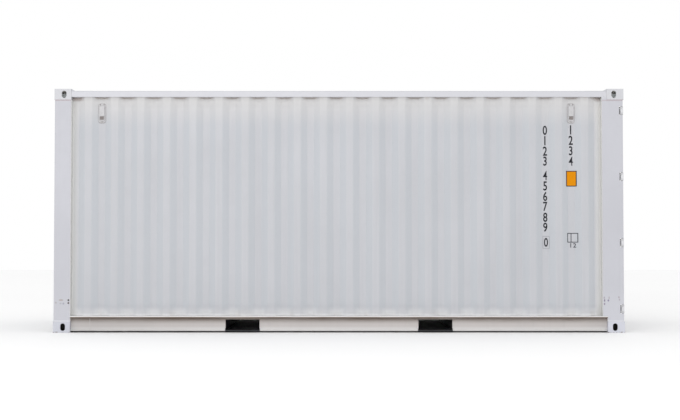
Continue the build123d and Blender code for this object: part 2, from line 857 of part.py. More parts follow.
def handles():
    """A stepped flat bar from the collar on each rod towards the middle of the leaf."""
    pieces = []
    for y, z, way in zip(ROD_PLACES, handle_heights(), (1, -1)):
        points = [
            (ROD_X, y + way * HUB_R),
            (ROD_X, y + way * HANDLE_STEP_FROM),
            (ROD_X + HANDLE_STEP, y + way * HANDLE_STEP_TO),
            (ROD_X + HANDLE_STEP, y + way * HANDLE_LONG),
        ]
        pieces += around(strip(points, HANDLE_THICK), z, HANDLE_HIGH).solids()
    return Compound(children=pieces)


def handle_catches():
    """A lipped shelf under the free end of each handle."""
    half = CATCH_PLATE / 2
    back = LEAF_FACE + half
    lip = ROD_X + HANDLE_STEP + HANDLE_THICK / 2 + CATCH_LIP_GAP + half
    pieces = []
    for y, z, way in zip(ROD_PLACES, handle_heights(), (1, -1)):
        shelf = z - HANDLE_HIGH / 2 - SEAT_GAP - half
        points = [
            (back, z + CATCH_ABOVE),
            (back, shelf),
            (lip, shelf),
            (lip, shelf + CATCH_LIP),
        ]
        end = y + way * (HANDLE_LONG - CATCH_WIDE)
        start = min(end - CATCH_WIDE / 2, end + CATCH_WIDE / 2)
        pieces += along_y(strip(points, CATCH_PLATE), start, start + CATCH_WIDE).solids()
    return Compound(children=pieces)


def cam_keepers():
    """A pair of cheeks beside each cam, on the header and on the sill."""
    inner = CAM_R + KEEPER_GAP
    pieces = []
    for y in ROD_PLACES:
        for z in (CAM_LOW_Z, CAM_TOP_Z):
            low_z = z - KEEPER_HIGH / 2
            for edge in (y - inner - KEEPER_PLATE, y + inner):
                low = (END_FACE, edge, low_z)
                high = (END_FACE + KEEPER_DEEP, edge + KEEPER_PLATE, low_z + KEEPER_HIGH)
                pieces += box_between(low, high).solids()
    left = Compound(children=pieces)
    return both_sides(left)


def save(shape, name):
    shape.label = name
    export_step(shape, f"parts/{name}.step")


def save_pair(shape, left_name, right_name):
    save(shape, left_name)
    save(flip_side(shape), right_name)


os.makedirs("parts", exist_ok=True)

for level, on_top in (("bottom", False), ("top", True)):
    casting = fitting(on_top)
    save_pair(casting, f"{level}_fitting_front_left", f"{level}_fitting_front_right")
    casting = flip_end(casting)
    save_pair(casting, f"{level}_fitting_rear_left", f"{level}_fitting_rear_right")

save_pair(front_post(), "front_post_left", "front_post_right")
save_pair(rear_post(), "rear_post_left", "rear_post_right")
save_pair(top_rail(), "top_rail_left", "top_rail_right")
save_pair(bottom_rail(), "bottom_rail_left", "bottom_rail_right")
save_pair(side_wall(), "side_wall_left", "side_wall_right")
save(front_header(), "front_header")
save(front_sill(), "front_sill")
save(front_wall(), "front_wall")
save(roof_panel(), "roof_panel")
save(roof_plates(), "roof_plates")
save(floor_boards(), "floor_boards")
save(cross_members(), "cross_members")
save(fork_pocket_sides(), "fork_pocket_sides")
save(fork_pocket_plates(), "fork_pocket_plates")
save(rail_bridges(), "rail_bridges")
save(ventilators(), "ventilators")
save(door_header(), "door_header")
save(door_sill(), "door_sill")
save(hinge_lugs(), "hinge_lugs")
save(hinge_pins(), "hinge_pins")
save(cam_keepers(), "cam_keepers")

leaf_pieces = {
    "frame": leaf_frame(),
    "panel": leaf_panel(),
    "gasket": leaf_gasket(),
    "hinge_blades": hinge_blades(),
    "lock_rods": lock_rods(),
    "rod_brackets": rod_brackets(),
    "handles": handles(),
    "handle_catches": handle_catches(),
}
for piece_name, piece in leaf_pieces.items():
    save_pair(piece, f"left_door_{piece_name}", f"right_door_{piece_name}")
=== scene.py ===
import json
import math

import bmesh
import bpy
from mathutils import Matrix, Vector, noise


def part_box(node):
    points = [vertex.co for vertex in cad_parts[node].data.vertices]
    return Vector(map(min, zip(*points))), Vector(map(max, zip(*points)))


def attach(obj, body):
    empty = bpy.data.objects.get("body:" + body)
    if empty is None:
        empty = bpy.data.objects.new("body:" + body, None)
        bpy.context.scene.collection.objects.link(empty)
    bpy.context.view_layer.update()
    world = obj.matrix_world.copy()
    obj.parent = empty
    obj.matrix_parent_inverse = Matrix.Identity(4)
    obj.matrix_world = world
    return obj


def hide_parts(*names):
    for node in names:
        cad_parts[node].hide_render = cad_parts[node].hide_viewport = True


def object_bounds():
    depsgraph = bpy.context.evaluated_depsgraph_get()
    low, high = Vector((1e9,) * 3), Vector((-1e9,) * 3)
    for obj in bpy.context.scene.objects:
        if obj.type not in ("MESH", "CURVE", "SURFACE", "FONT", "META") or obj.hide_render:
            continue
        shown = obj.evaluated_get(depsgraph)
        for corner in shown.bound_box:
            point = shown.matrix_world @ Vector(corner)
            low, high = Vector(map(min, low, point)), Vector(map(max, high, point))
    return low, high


# A weathered dry freight container. Metres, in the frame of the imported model.
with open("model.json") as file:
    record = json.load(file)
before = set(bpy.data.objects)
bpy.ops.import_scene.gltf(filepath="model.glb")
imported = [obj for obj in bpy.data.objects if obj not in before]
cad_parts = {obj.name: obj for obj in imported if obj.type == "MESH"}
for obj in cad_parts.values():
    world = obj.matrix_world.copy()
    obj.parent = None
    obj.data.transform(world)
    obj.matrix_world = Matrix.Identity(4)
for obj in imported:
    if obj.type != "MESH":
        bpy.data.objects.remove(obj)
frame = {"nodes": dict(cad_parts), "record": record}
box_at_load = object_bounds()
scene = bpy.context.scene

# Overall planes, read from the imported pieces
WHOLE_LOW, WHOLE_HIGH = box_at_load
WALL_LOW, WALL_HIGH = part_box("side_wall_left")
FITTING_LOW, FITTING_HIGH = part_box("bottom_fitting_front_left")
TOP_FITTING_LOW, TOP_FITTING_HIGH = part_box("top_fitting_front_left")
TOP_RAIL_LOW, TOP_RAIL_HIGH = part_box("top_rail_left")
BASE_RAIL_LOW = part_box("bottom_rail_left")[0]
FRONT_POST_LOW, FRONT_POST_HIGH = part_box("front_post_left")
REAR_POST_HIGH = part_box("rear_post_left")[1]
FLOOR_LOW, FLOOR_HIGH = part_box("floor_boards")
VENT_LOW, VENT_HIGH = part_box("ventilators")
PANEL_LOW, PANEL_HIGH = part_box("left_door_panel")
LEAF_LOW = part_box("left_door_frame")[0]
PIN_LOW, PIN_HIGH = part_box("hinge_pins")
BLADE_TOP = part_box("left_door_hinge_blades")[1]
BRACKET_LOW, BRACKET_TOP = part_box("left_door_rod_brackets")
CATCH_LOW, CATCH_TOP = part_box("left_door_handle_catches")
KEEPER_LOW, KEEPER_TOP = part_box("cam_keepers")
POCKET_LOW, POCKET_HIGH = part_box("fork_pocket_sides")
ROOF_LOW, ROOF_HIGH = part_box("roof_panel")

# Side wall
RIDGES = 20
RIDGE_MARGIN = 0.08
SLOPE_RUN = 0.068
RIDGE_SHARE = 0.507
SHEET = 0.0016
BEND_R = 0.026
BEND_STEPS = 4
WALL_ROWS = 16

# Dents of the wall: their depth, how far from an edge they are full, and the waves they are made of,
# each with its share, how fast it changes along and up, and a seed
DENT = 0.0011
DENT_EDGE = 0.18
DENT_WAVES = ((1.0, 1.3, 1.1, 3.7), (0.5, 4.1, 2.6, 9.1))

# Fork pockets: their width in the rail, and the height of the strip below them
POCKET_REACH = 0.370
POCKET_FOOT = 0.042

# Beads of weld: radii, lengths of a ripple and sides of the section
SHEET_BEAD = 0.0026
EDGE_BEAD = 0.0028
END_BEAD = 0.0030
RAIL_BEAD = 0.0034
JOINT_BEAD = 0.0040
SEAM_BEAD = 0.0022
BLADE_BEAD = 0.0024
BEAD_STEP = 0.012
LONG_STEP = 0.020
SMOOTH_STEP = 0.030
BEAD_SIDES = 6

# Ripple of a bead: its share of the radius, how fast it changes, the further swell of every
# second ring, and the size of both tips
RIPPLE = 0.22
RIPPLE_RATE = 60.0
BEAT = 0.12
TIP = 0.45

# How far beads lie in or out of the faces that they join, and how far they stop short of edges
BEAD_OUT = 0.001
JOINT_SUNK = 0.0014
RAIL_SUNK = 0.0005
LIP_SUNK = 0.0012
LIP_END = 0.002
FRONT_JOINT_END = 0.006
REAR_JOINT_END = 0.012
REAR_JOINT_STEP = 0.002
POST_BEAD_END = 0.004
BLADE_SEAM_END = 0.006

# The base rail: the height of its lip's foot, how far its web lies outside the inner face of the top
# rail, and the foot and head of the welded seam on the web
LIP_FOOT = 0.158
WEB_FACE = 0.0168
SEAM_LOW = 0.024
SEAM_HIGH = 0.150

# Sealant beside the posts: its radius, how far it lies in front of the valley's face, how far from
# the post, how far it stops short of the wall's foot and head, and where that face is measured
SEALANT_R = 0.0045
SEALANT_OUT = 0.0005
SEALANT_IN = 0.0035
SEALANT_END = 0.005
SEALANT_ASIDE = 0.020
SEALANT_LEVEL = 1.2

# Photograph to part: metres a pixel across and up, where its middle and its base are, and
# how much farther apart things lie on the recessed wall than on the faces of the posts
PX_ACROSS = 0.01062
PX_UP = 0.00971
PX_MIDDLE = 339.3
PX_BASE = 343.9
WALL_SPREAD = 1.0045

# The column of pixels of the rail's welded seam
RAIL_SEAM_PX = 90.0

# Rust and scuffs on the near posts: the pixel in the photograph, half the size, and the tone
POST_MARKS = {
    "front_rust_upper": ((69.3, 308.5), (0.010, 0.010), (0.050, 0.045, 0.050)),
    "front_rust_lower": ((69.3, 311.6), (0.010, 0.010), (0.075, 0.055, 0.055)),
    "front_scrape": ((61.8, 308.4), (0.024, 0.010), (0.40, 0.36, 0.36)),
    "front_chip_inner": ((64.3, 312.2), (0.010, 0.011), (0.36, 0.36, 0.42)),
    "front_chip_middle": ((61.5, 312.1), (0.012, 0.009), (0.41, 0.41, 0.45)),
    "front_chip_outer": ((56.8, 311.2), (0.010, 0.010), (0.42, 0.40, 0.42)),
    "rear_line_upper": ((604.1, 305.8), (0.006, 0.013), (0.36, 0.33, 0.38)),
    "rear_line_middle": ((604.4, 308.8), (0.007, 0.014), (0.20, 0.17, 0.24)),
    "rear_line_lower": ((604.3, 312.6), (0.007, 0.012), (0.24, 0.20, 0.27)),
    "rear_drip": ((608.9, 305.8), (0.006, 0.014), (0.40, 0.37, 0.40)),
    "rear_chip": ((608.1, 308.8), (0.010, 0.011), (0.26, 0.23, 0.33)),
    "rear_scuff_upper": ((618.7, 305.3), (0.007, 0.011), (0.38, 0.34, 0.37)),
    "rear_scuff_lower": ((619.2, 307.9), (0.007, 0.010), (0.40, 0.37, 0.41)),
    "rear_foot_stain": ((611.5, 332.5), (0.016, 0.010), (0.48, 0.42, 0.38)),
}

# Tones of bare paint and of other stuff
WALL_TONE = (0.506, 0.512, 0.540)
FRAME_TONE = (0.520, 0.522, 0.562)
CASTING_TONE = (0.560, 0.570, 0.625)
LUG_TONE = (0.60, 0.60, 0.62)
BASE_TONE = (0.552, 0.520, 0.508)
# Painted light at the foot of the wall, lifting the shade over the base rail's lip, more in the valleys
RIDGE_FOOT_LIGHT = (0.70, 0.70, 0.725)
VALLEY_FOOT_LIGHT = (0.82, 0.82, 0.835)
# Painted light and shade inside the hollows of the top fittings
HOLE_PAINTED_LIGHT = (0.66, 0.69, 0.69)
HOLE_PAINTED_SHADE = (0.30, 0.29, 0.27)
UNDERSEAL_TONE = (0.022, 0.022, 0.024)
PLY_DARK_TONE = (0.19, 0.10, 0.05)
PLY_LIGHT_TONE = (0.36, 0.22, 0.12)

# Coats over the bare paint, of dirt and wear and of painted light and shade: the tone, how much it covers,
# and the pairs of heights between which it sets in. The places of a coat without heights are given where it
# is laid.
COATS = {
    "slope_shade": ((0.486, 0.515, 0.548), 0.5),
    "wall_head_light": ((0.585, 0.578, 0.580), 0.8, 2.15, 2.45),
    "wall_foot_lift_light": ((0.95, 0.95, 0.96), 0.75, 0.212, 0.184),
    "front_broad": ((0.58, 0.57, 0.55), 0.5),
    "front_narrow": ((0.83, 0.825, 0.81), 1.0),
    "rear_broad": ((0.74, 0.725, 0.70), 0.5),
    "rear_narrow": ((0.86, 0.85, 0.82), 1.0),
    "foot_stain": ((0.46, 0.40, 0.34), 0.22, 0.27, 0.175),
    "under_rail_light": ((0.72, 0.71, 0.705), 0.7, 2.40, 2.47),
    "rail_drip_and_shadow": ((0.40, 0.33, 0.28), 0.35, 2.46, 2.505),
    "rust_and_valley_shadow": ((0.48, 0.41, 0.35), 0.8, 2.474, 2.504),
    "head_corner_darkening": ((0.40, 0.345, 0.32), 0.75, 2.450, 2.480),
    "rail_head_light": ((0.585, 0.586, 0.622), 1.0, 2.47, 2.51),
    "post_foot_light": ((0.65, 0.66, 0.715), 1.0, 0.55, 0.10),
    "fitting_band_highlight": ((0.69, 0.70, 0.75), 0.8, 0.112, 0.117, 0.134, 0.126),
    "post_seam": ((0.46, 0.41, 0.435), 0.8, 2.459, 2.463, 2.475, 2.473),
    "post_return_light": ((0.93, 0.93, 0.92), 1.0),
    "warm_dirt": ((0.40, 0.33, 0.28), 1.0, 0.5, 0.0),
    "web_foot_light": ((0.675, 0.665, 0.66), 0.9, 0.075, 0.03),
    "web_front": ((0.36, 0.345, 0.34), 0.25),
    "web_shadow_and_dirt": ((0.132, 0.088, 0.061), 1.0, 0.082, 0.162),
    "lip_highlight": ((0.78, 0.785, 0.78), 1.0, 0.164, 0.169),
    "lower_edge_shadow": ((0.035, 0.03, 0.028), 1.0, 0.0185, 0.0165),
    "pocket_foot_shade": ((0.06, 0.064, 0.072), 1.0, POCKET_FOOT + 0.004, POCKET_FOOT),
    "notch_shadow": ((0.06, 0.055, 0.055), 1.0),
    "casting_rear_light": ((0.66, 0.67, 0.74), 1.0),
    "casting_top": ((0.575, 0.578, 0.605), 1.0, 1.2, 1.4),
    "casting_chips": ((0.13, 0.062, 0.035), 1.0, 0.016, 0.003),
    "casting_joint": ((0.45, 0.40, 0.425), 1.0, 2.480, 2.476, 1.4, 1.5),
    "hollow_shade": ((0.018, 0.016, 0.015), 1.0),
    "rust_bloom": ((0.26, 0.13, 0.075), 1.0),
    "road_dust": ((0.10, 0.085, 0.072), 0.5),
    "floor_wear": ((0.25, 0.19, 0.15), 0.6),
    "floor_scratch": ((0.44, 0.33, 0.22), 0.4),
}

# Bounds of coats along, across and up, from where they start to where they are full
SIDE_END = (2.856, 2.852)
VALLEY_DEPTH = (1.205, 1.180)
CORNER_RUN = (2.70, 2.77)
BROAD_LIGHT_STRIP = (0.085, 0.04)
NARROW_LIGHT_STRIP = 0.038
SEAM_FACE = (1.200, 1.205)
RETURN_END = (2.87, 2.86)
RETURN_FACE = (1.168, 1.172)
NOTCH_SHADOW_RUN = (2.9955, 2.9915)
CASTING_SKIN = 0.010
HOLE_SHADE_FADE = (2.546, 2.562)
FOOT_LIGHT_RISE = (0.29, 0.177)

# Gloss and skin of sprayed paint, and the spread of roughness around its middle
PAINT_IOR = 1.46
PEEL_SCALE = 900.0
PAINT_BUMP = 0.12
PAINT_SKIN = 0.0004
ROUGH_BELOW = 0.06
ROUGH_ABOVE = 0.12


# Shader graphs

class Graph:
    """A few short calls for building a material, whose colour is laid coat by coat."""

    def __init__(self):
        self.material = bpy.data.materials.new("look")
        self.material.use_nodes = True
        self.tree = self.material.node_tree
        self.tree.nodes.clear()
        self.shader = self.add("ShaderNodeBsdfPrincipled")
        out = self.add("ShaderNodeOutputMaterial")
        self.link(self.shader.outputs["BSDF"], out.inputs["Surface"])
        self.coords = self.add("ShaderNodeTexCoord").outputs["Object"]
        self.x, self.y, self.z = self.split(self.coords)
        self.colour = None

    def add(self, kind):
        return self.tree.nodes.new(kind)

    def link(self, source, target):
        self.tree.links.new(source, target)

    def feed(self, value, socket):
        if isinstance(value, (int, float)):
            socket.default_value = value
        elif isinstance(value, tuple):
            socket.default_value = (*value, 1.0)
        else:
            self.link(value, socket)

    def split(self, vector):
        """The three parts of a vector."""
        node = self.add("ShaderNodeSeparateXYZ")
        self.link(vector, node.inputs[0])
        return node.outputs[0], node.outputs[1], node.outputs[2]

    def facing(self):
        """The three parts of the surface's own direction."""
        return self.split(self.add("ShaderNodeTexCoord").outputs["Normal"])

    def noise(self, scale, detail=3.0, rough=0.55, vector=None):
        node = self.add("ShaderNodeTexNoise")
        node.inputs["Scale"].default_value = scale
        node.inputs["Detail"].default_value = detail
        node.inputs["Roughness"].default_value = rough
        self.link(vector or self.coords, node.inputs["Vector"])
        return node.outputs["Fac"]

    def grain(self, stretch, detail=5.0, rough=0.6):
        """Noise with its own fineness along each of the three axes."""
        node = self.add("ShaderNodeMapping")
        node.inputs["Scale"].default_value = stretch
        self.link(self.coords, node.inputs["Vector"])
        return self.noise(1.0, detail, rough, node.outputs["Vector"])

    def math(self, what, first, second=0.0):
        node = self.add("ShaderNodeMath")
        node.operation = what
        for value, socket in zip((first, second), node.inputs):
            self.feed(value, socket)
        return node.outputs[0]

    def size(self, value):
        return self.math("ABSOLUTE", value)

    def plus(self, first, second):
        return self.math("ADD", first, second)

    def times(self, first, *others):
        for other in others:
            first = self.math("MULTIPLY", first, other)
        return first

    def span(self, value, start, stop, low=0.0, high=1.0):
        """A smooth step of a value from one range into another."""
        node = self.add("ShaderNodeMapRange")
        node.interpolation_type = "SMOOTHSTEP"
        for part, socket in zip((value, start, stop, low, high), node.inputs):
            self.feed(part, socket)
        return node.outputs[0]

    def cloud(self, scale, detail=3.0, low=0.0, high=1.0):
        """Soft noise stretched to a range."""
        return self.span(self.noise(scale, detail), 0.3, 0.7, low, high)

    def within(self, value, low, high, edge=0.001):
        """One where the size of a value lies between two bounds, else zero."""
        size = self.size(value)
        return self.times(self.span(size, low - edge, low), self.span(size, high + edge, high))

    def spot(self, centre, size, edge=0.35, grain=160.0):
        """One ragged patch on the near side, as a share from 0 to 1."""
        ways = []
        for value, middle, half in zip((self.x, self.z), centre, size):
            way = self.math("DIVIDE", self.math("SUBTRACT", value, middle), half)
            ways.append(self.math("POWER", way, 2.0))
        ragged = self.plus(self.plus(*ways), self.times(self.noise(grain), 1.2))
        near = self.math("LESS_THAN", self.y, 0.0)
        return self.times(self.span(ragged, 1.6 + edge, 1.6 - edge), near)

    def mix(self, share, first, second, blend="MIX"):
        node = self.add("ShaderNodeMix")
        node.data_type = "RGBA"
        node.blend_type = blend
        self.feed(share, node.inputs[0])
        self.feed(first, node.inputs[6])
        self.feed(second, node.inputs[7])
        return node.outputs[2]

    def over(self, tone, *shares):
        """A tone over the colour so far, as much as the product of the shares."""
        self.colour = self.mix(self.times(*shares), self.colour, tone)

    def coat(self, name, *masks):
        """One of the named coats over the colour so far, within its heights and the masks."""
        tone, cover, *heights = COATS[name]
        rises = [self.span(self.z, start, full) for start, full in zip(heights[::2], heights[1::2])]
        self.over(tone, *rises, *masks, cover)

    def peel(self, scale, share):
        """The skin of sprayed paint: a fine orange peel over broad waves."""
        broad = self.times(self.noise(scale, 2.0), share)
        self.bump(self.plus(self.noise(PEEL_SCALE, 2.0), broad), PAINT_BUMP, PAINT_SKIN)

    def bump(self, height, strength, distance):
        node = self.add("ShaderNodeBump")
        node.inputs["Strength"].default_value = strength
        node.inputs["Distance"].default_value = distance
        self.link(height, node.inputs["Height"])
        self.link(node.outputs["Normal"], self.shader.inputs["Normal"])

    def done(self, rough, **uniform):
        self.feed(self.colour, self.shader.inputs["Base Color"])
        self.feed(rough, self.shader.inputs["Roughness"])
        for name, value in uniform.items():
            self.shader.inputs[name.replace("_", " ")].default_value = value
        return self.material


def from_photo(px, py):
    """A place on the faces of the near posts, in metres along and up, for a pixel of the photograph."""
    return (px - PX_MIDDLE) * PX_ACROSS, (PX_BASE - py) * PX_UP


def on_wall(px, py):
    """The same for the wall, which lies farther back than the posts."""
    x, z = from_photo(px, py)
    return x * WALL_SPREAD, z


# Materials

def weathered(tone, mottle, streaks):
    """A paint tone with broad clouds, fine grain and streaks that run down."""
    graph = Graph()
    dark = tuple(part * (1 - mottle) for part in tone)
    light = tuple(min(part * (1 + mottle * 0.7), 1.0) for part in tone)
    clouds = graph.span(graph.noise(1.1, 4.0), 0.32, 0.68)
    graph.colour = graph.mix(clouds, dark, light)
    run = graph.span(graph.grain((26.0, 26.0, 0.55), 4.0), 0.45, 0.75)
    graph.over(tuple(part * (1 - streaks * 2.2) for part in tone), run, 0.5)
    speckle = graph.cloud(420.0, 2.0, -0.012, 0.012)
    graph.colour = graph.mix(1.0, graph.colour, graph.plus(speckle, 1.0), "MULTIPLY")
    return graph


def sprayed(graph, rough=0.42, grime=0.0):
    """Warm dirt low down, and the skin of sprayed steel. Gives its roughness."""
    if grime:
        patchy = graph.span(graph.grain((7.0, 7.0, 3.15)), 0.35, 0.7)
        graph.coat("warm_dirt", patchy, grime)
    graph.peel(14.0, 6.0)
    return graph.cloud(9.0, 4.0, rough - ROUGH_BELOW, rough + ROUGH_ABOVE)


def paint(tone, mottle, streaks=0.0, rough=0.42, grime=0.0):
    """Sprayed steel in one tone."""
    graph = weathered(tone, mottle, streaks)
    return graph.done(sprayed(graph, rough, grime), IOR=PAINT_IOR)


def frame_paint():
    """The posts and top rails: painted light on the top rails, at the feet of the posts and on their
    returns, a painted highlight above the bottom fittings, with rust and scuffs on the near side.
    """
    graph = weathered(FRAME_TONE, 0.03, 0.02)
    # Painted light: the top rails and the heads of the posts lighter, as if lit from above
    graph.coat("rail_head_light")
    # Painted light at the feet of the posts, more towards the rear, where the lamp leaves more shade
    graph.coat("post_foot_light", graph.span(graph.x, -3.0, 3.0, 0.12, 0.42))
    # Painted highlight: a light band where the bottom fittings meet the posts
    graph.coat("fitting_band_highlight")
    graph.coat("post_seam", graph.span(graph.size(graph.y), *SEAM_FACE))
    # Painted light on the post faces that turn towards the wall, against the shade in the corner
    across = graph.span(graph.size(graph.facing()[0]), 0.8, 0.95)
    inner = graph.span(graph.size(graph.x), *RETURN_END)
    outer = graph.span(graph.size(graph.y), *RETURN_FACE)
    graph.coat("post_return_light", across, inner, outer)
    rough = sprayed(graph, grime=0.03)
    for pixel, size, tone in POST_MARKS.values():
        graph.over(tone, graph.spot(from_photo(*pixel), size))
    return graph.done(rough, IOR=PAINT_IOR)


def post_light_strips(graph, on_side):
    """Painted light on strips of the wall beside both posts, lifting the shade there: a broad one, and a
    narrow one in its corner.
    """
    for name, post, way in (("front", WALL_LOW.x, 1), ("rear", WALL_HIGH.x, -1)):
        start, full = (post + way * run for run in BROAD_LIGHT_STRIP)
        graph.coat(name + "_broad", graph.span(graph.x, start, full), on_side)
        graph.coat(name + "_narrow", graph.span(graph.x, post + way * NARROW_LIGHT_STRIP, post), on_side)


def wall_paint():
    """The wall's paint: painted shade on the slopes, painted light at its head, its foot and beside the
    posts, stains at its foot, and dark bands under the top rail that are partly painted shadow.
    """
    graph = weathered(WALL_TONE, 0.03, 0.03)
    along, across, _ = graph.facing()
    outside = graph.math("GREATER_THAN", graph.times(graph.y, across), 0.0)
    on_side = graph.times(outside, graph.span(graph.size(graph.x), *SIDE_END))
    valley = graph.span(graph.size(graph.y), *VALLEY_DEPTH)
    runs = graph.span(graph.grain((9.0, 9.0, 1.6)), 0.50, 0.74)
    # Painted shade: the slopes of the corrugation darker and cooler than the flats
    graph.coat("slope_shade", graph.span(graph.size(along), 0.1, 0.45))
    # Painted light: the upper part of the wall lighter, as if lit from above
    graph.coat("wall_head_light")
    # Painted light at the foot of the wall against the shade of the base rail's lip, stronger in the
    # valleys and just over the lip
    foot_painted_light = graph.mix(valley, RIDGE_FOOT_LIGHT, VALLEY_FOOT_LIGHT)
    graph.over(foot_painted_light, graph.span(graph.z, *FOOT_LIGHT_RISE), on_side)
    graph.coat("wall_foot_lift_light", on_side)
    # Painted light on the wall beside the front and rear posts
    post_light_strips(graph, on_side)
    graph.coat("foot_stain", runs)
    # Painted light on the wall just under the top rail, stronger in the valleys, lifting the rail's shadow
    graph.coat("under_rail_light", graph.plus(graph.times(valley, 0.5), 0.5), on_side)
    # Partly rust drips and partly painted shadow: a dark brown band just under the top rail, broken into
    # runs
    graph.coat("rail_drip_and_shadow", runs)
    # Painted shadow of the top rail in the valleys, tinted brown as rust
    graph.coat("rust_and_valley_shadow", valley, on_side)
    # Darker brown at the head of the wall near both ends
    graph.coat("head_corner_darkening", graph.span(graph.size(graph.x), *CORNER_RUN), on_side)
    graph.peel(12.0, 7.0)
    return graph.done(graph.cloud(7.0, 4.0, 0.40, 0.55), IOR=PAINT_IOR)


def rail_paint():
    """The base rails: pinkish grey, painted light towards the foot of the web, road dirt and painted shadow
    high on it, a painted highlight on the lip and a painted shadow along the lower edge.
    """
    graph = weathered(BASE_TONE, 0.04, 0.03)
    # Painted light: the web lighter towards its foot, away from the shade under the lip
    graph.coat("web_foot_light")
    graph.coat("web_front", graph.span(graph.x, -1.0, WALL_LOW.x))
    # Partly road dirt and partly painted shadow: dark brown high on the web, under the lip
    graph.coat("web_shadow_and_dirt", graph.span(graph.grain((1.8, 3.0, 9.0)), 0.3, 0.7, 0.72, 1.0))
    # Painted highlight along the top of the lip
    graph.coat("lip_highlight")
    # Painted shadow along the rail's lower edge, broken in places and fading towards the rear
    worn = graph.span(graph.noise(5.0), 0.42, 0.50)
    graph.coat("lower_edge_shadow", worn, graph.span(graph.x, -2.6, 1.6, 0.6, 0.0))
    # Painted shade on the strip of rail below each fork pocket
    graph.coat("pocket_foot_shade", graph.within(graph.x, -POCKET_LOW.x - POCKET_REACH, -POCKET_LOW.x))
    graph.bump(graph.plus(graph.noise(700.0, 2.0), graph.noise(30.0)), 0.16, 0.0005)
    return graph.done(graph.cloud(11.0, 4.0, 0.46, 0.66), IOR=PAINT_IOR)


def lug_paint():
    """The hinge lugs' light paint, with painted shadow where they run into the corner of the post."""
    graph = weathered(LUG_TONE, 0.05, 0.0)
    # Painted shadow along the inner edge of each notch
    graph.coat("notch_shadow", graph.span(graph.size(graph.x), *NOTCH_SHADOW_RUN))
    graph.bump(graph.noise(500.0, 3.0), 0.15, 0.0004)
    return graph.done(graph.cloud(12.0, 4.0, 0.45, 0.62), IOR=PAINT_IOR)


def casting_paint():
    """Cast corner fittings: a lumpy skin, chipped to rust along their feet, painted light towards the rear,
    and painted light and shade in their hollows.
    """
    graph = weathered(CASTING_TONE, 0.05, 0.02)
    # Painted light: the castings lighter towards the rear, where the lamp leaves more shade
    graph.coat("casting_rear_light", graph.span(graph.x, -3.0, 3.0, 0.0, 0.5))
    graph.coat("casting_top")
    graph.coat("casting_chips", graph.span(graph.noise(60.0, 4.0, 0.7), 0.54, 0.58))
    graph.coat("casting_joint", graph.span(graph.noise(35.0), 0.3, 0.6, 0.5, 0.9))
    hollow = graph.within(graph.x, -FITTING_HIGH.x + CASTING_SKIN / 2, -FITTING_LOW.x - CASTING_SKIN)
    hollow = graph.times(hollow, graph.within(graph.y, 0.0, -FITTING_LOW.y - CASTING_SKIN))
    low = graph.within(graph.z, CASTING_SKIN, FITTING_HIGH.z - CASTING_SKIN / 2)
    high = graph.within(graph.z, TOP_FITTING_LOW.z + CASTING_SKIN / 2, TOP_FITTING_HIGH.z - CASTING_SKIN)
    # Painted shade inside the hollows of the bottom fittings
    graph.coat("hollow_shade", hollow, low)
    # Painted light low inside the hollows of the top fittings, and painted shade higher up
    hole_light_and_shade = graph.mix(graph.span(graph.z, *HOLE_SHADE_FADE), HOLE_PAINTED_LIGHT, HOLE_PAINTED_SHADE)
    graph.over(hole_light_and_shade, hollow, high)
    graph.bump(graph.plus(graph.noise(320.0, 4.0), graph.noise(60.0, 3.0)), 0.4, 0.0009)
    return graph.done(graph.cloud(12.0, 4.0, 0.45, 0.65), IOR=PAINT_IOR)


def zinc(tone, rust):
    """Galvanised steel: spangle and a little rust bloom."""
    graph = Graph()
    cells = graph.add("ShaderNodeTexVoronoi")
    cells.inputs["Scale"].default_value = 140.0
    graph.link(graph.coords, cells.inputs["Vector"])
    spangle = graph.span(graph.noise(1.0, 1.0, 0.5, cells.outputs["Color"]), 0.3, 0.7, 0.95, 1.04)
    graph.colour = graph.mix(1.0, tone, spangle, "MULTIPLY")
    graph.coat("rust_bloom", graph.span(graph.noise(9.0, 6.0, 0.65), 0.60, 0.74), rust)
    graph.bump(graph.noise(260.0, 3.0), 0.15, 0.0005)
    return graph.done(graph.cloud(60.0, 3.0, 0.38, 0.58), Metallic=0.75)


def underseal():
    """A dark coat that was brushed on thick, with road dust on it."""
    graph = Graph()
    graph.colour = UNDERSEAL_TONE
    graph.coat("road_dust", graph.span(graph.noise(5.0, 6.0, 0.65), 0.4, 0.75))
    graph.bump(graph.plus(graph.noise(160.0, 5.0), graph.noise(25.0, 3.0)), 0.5, 0.0014)
    return graph.done(graph.cloud(30.0, 3.0, 0.62, 0.88), IOR=1.5)


def plywood():
    """Plywood with long grain, darker worn lanes and pale scratches."""
    graph = Graph()
    grain = graph.grain((5.0, 130.0, 40.0), 7.0, 0.62)
    graph.colour = graph.mix(graph.span(grain, 0.3, 0.72), PLY_DARK_TONE, PLY_LIGHT_TONE)
    graph.coat("floor_wear", graph.span(graph.grain((1.32, 4.84, 2.2)), 0.45, 0.72))
    graph.coat("floor_scratch", graph.span(graph.grain((2.0, 240.0, 1.0), 3.0, 0.5), 0.68, 0.72))
    graph.bump(grain, 0.35, 0.0008)
    return graph.done(graph.span(grain, 0.3, 0.7, 0.55, 0.78))


def plastic(tone, rough=0.5, bump=0.2):
    """Moulded plastic or rubber, slightly chalky and unevenly soiled."""
    graph = Graph()
    graph.colour = tone
    soil = graph.span(graph.noise(38.0, 5.0, 0.65), 0.45, 0.75)
    graph.over(tuple(part * 0.8 for part in tone), soil, 0.55)
    graph.bump(graph.noise(1400.0, 2.0), bump, 0.0003)
    return graph.done(graph.cloud(120.0, 3.0, rough - ROUGH_BELOW, rough + ROUGH_ABOVE))


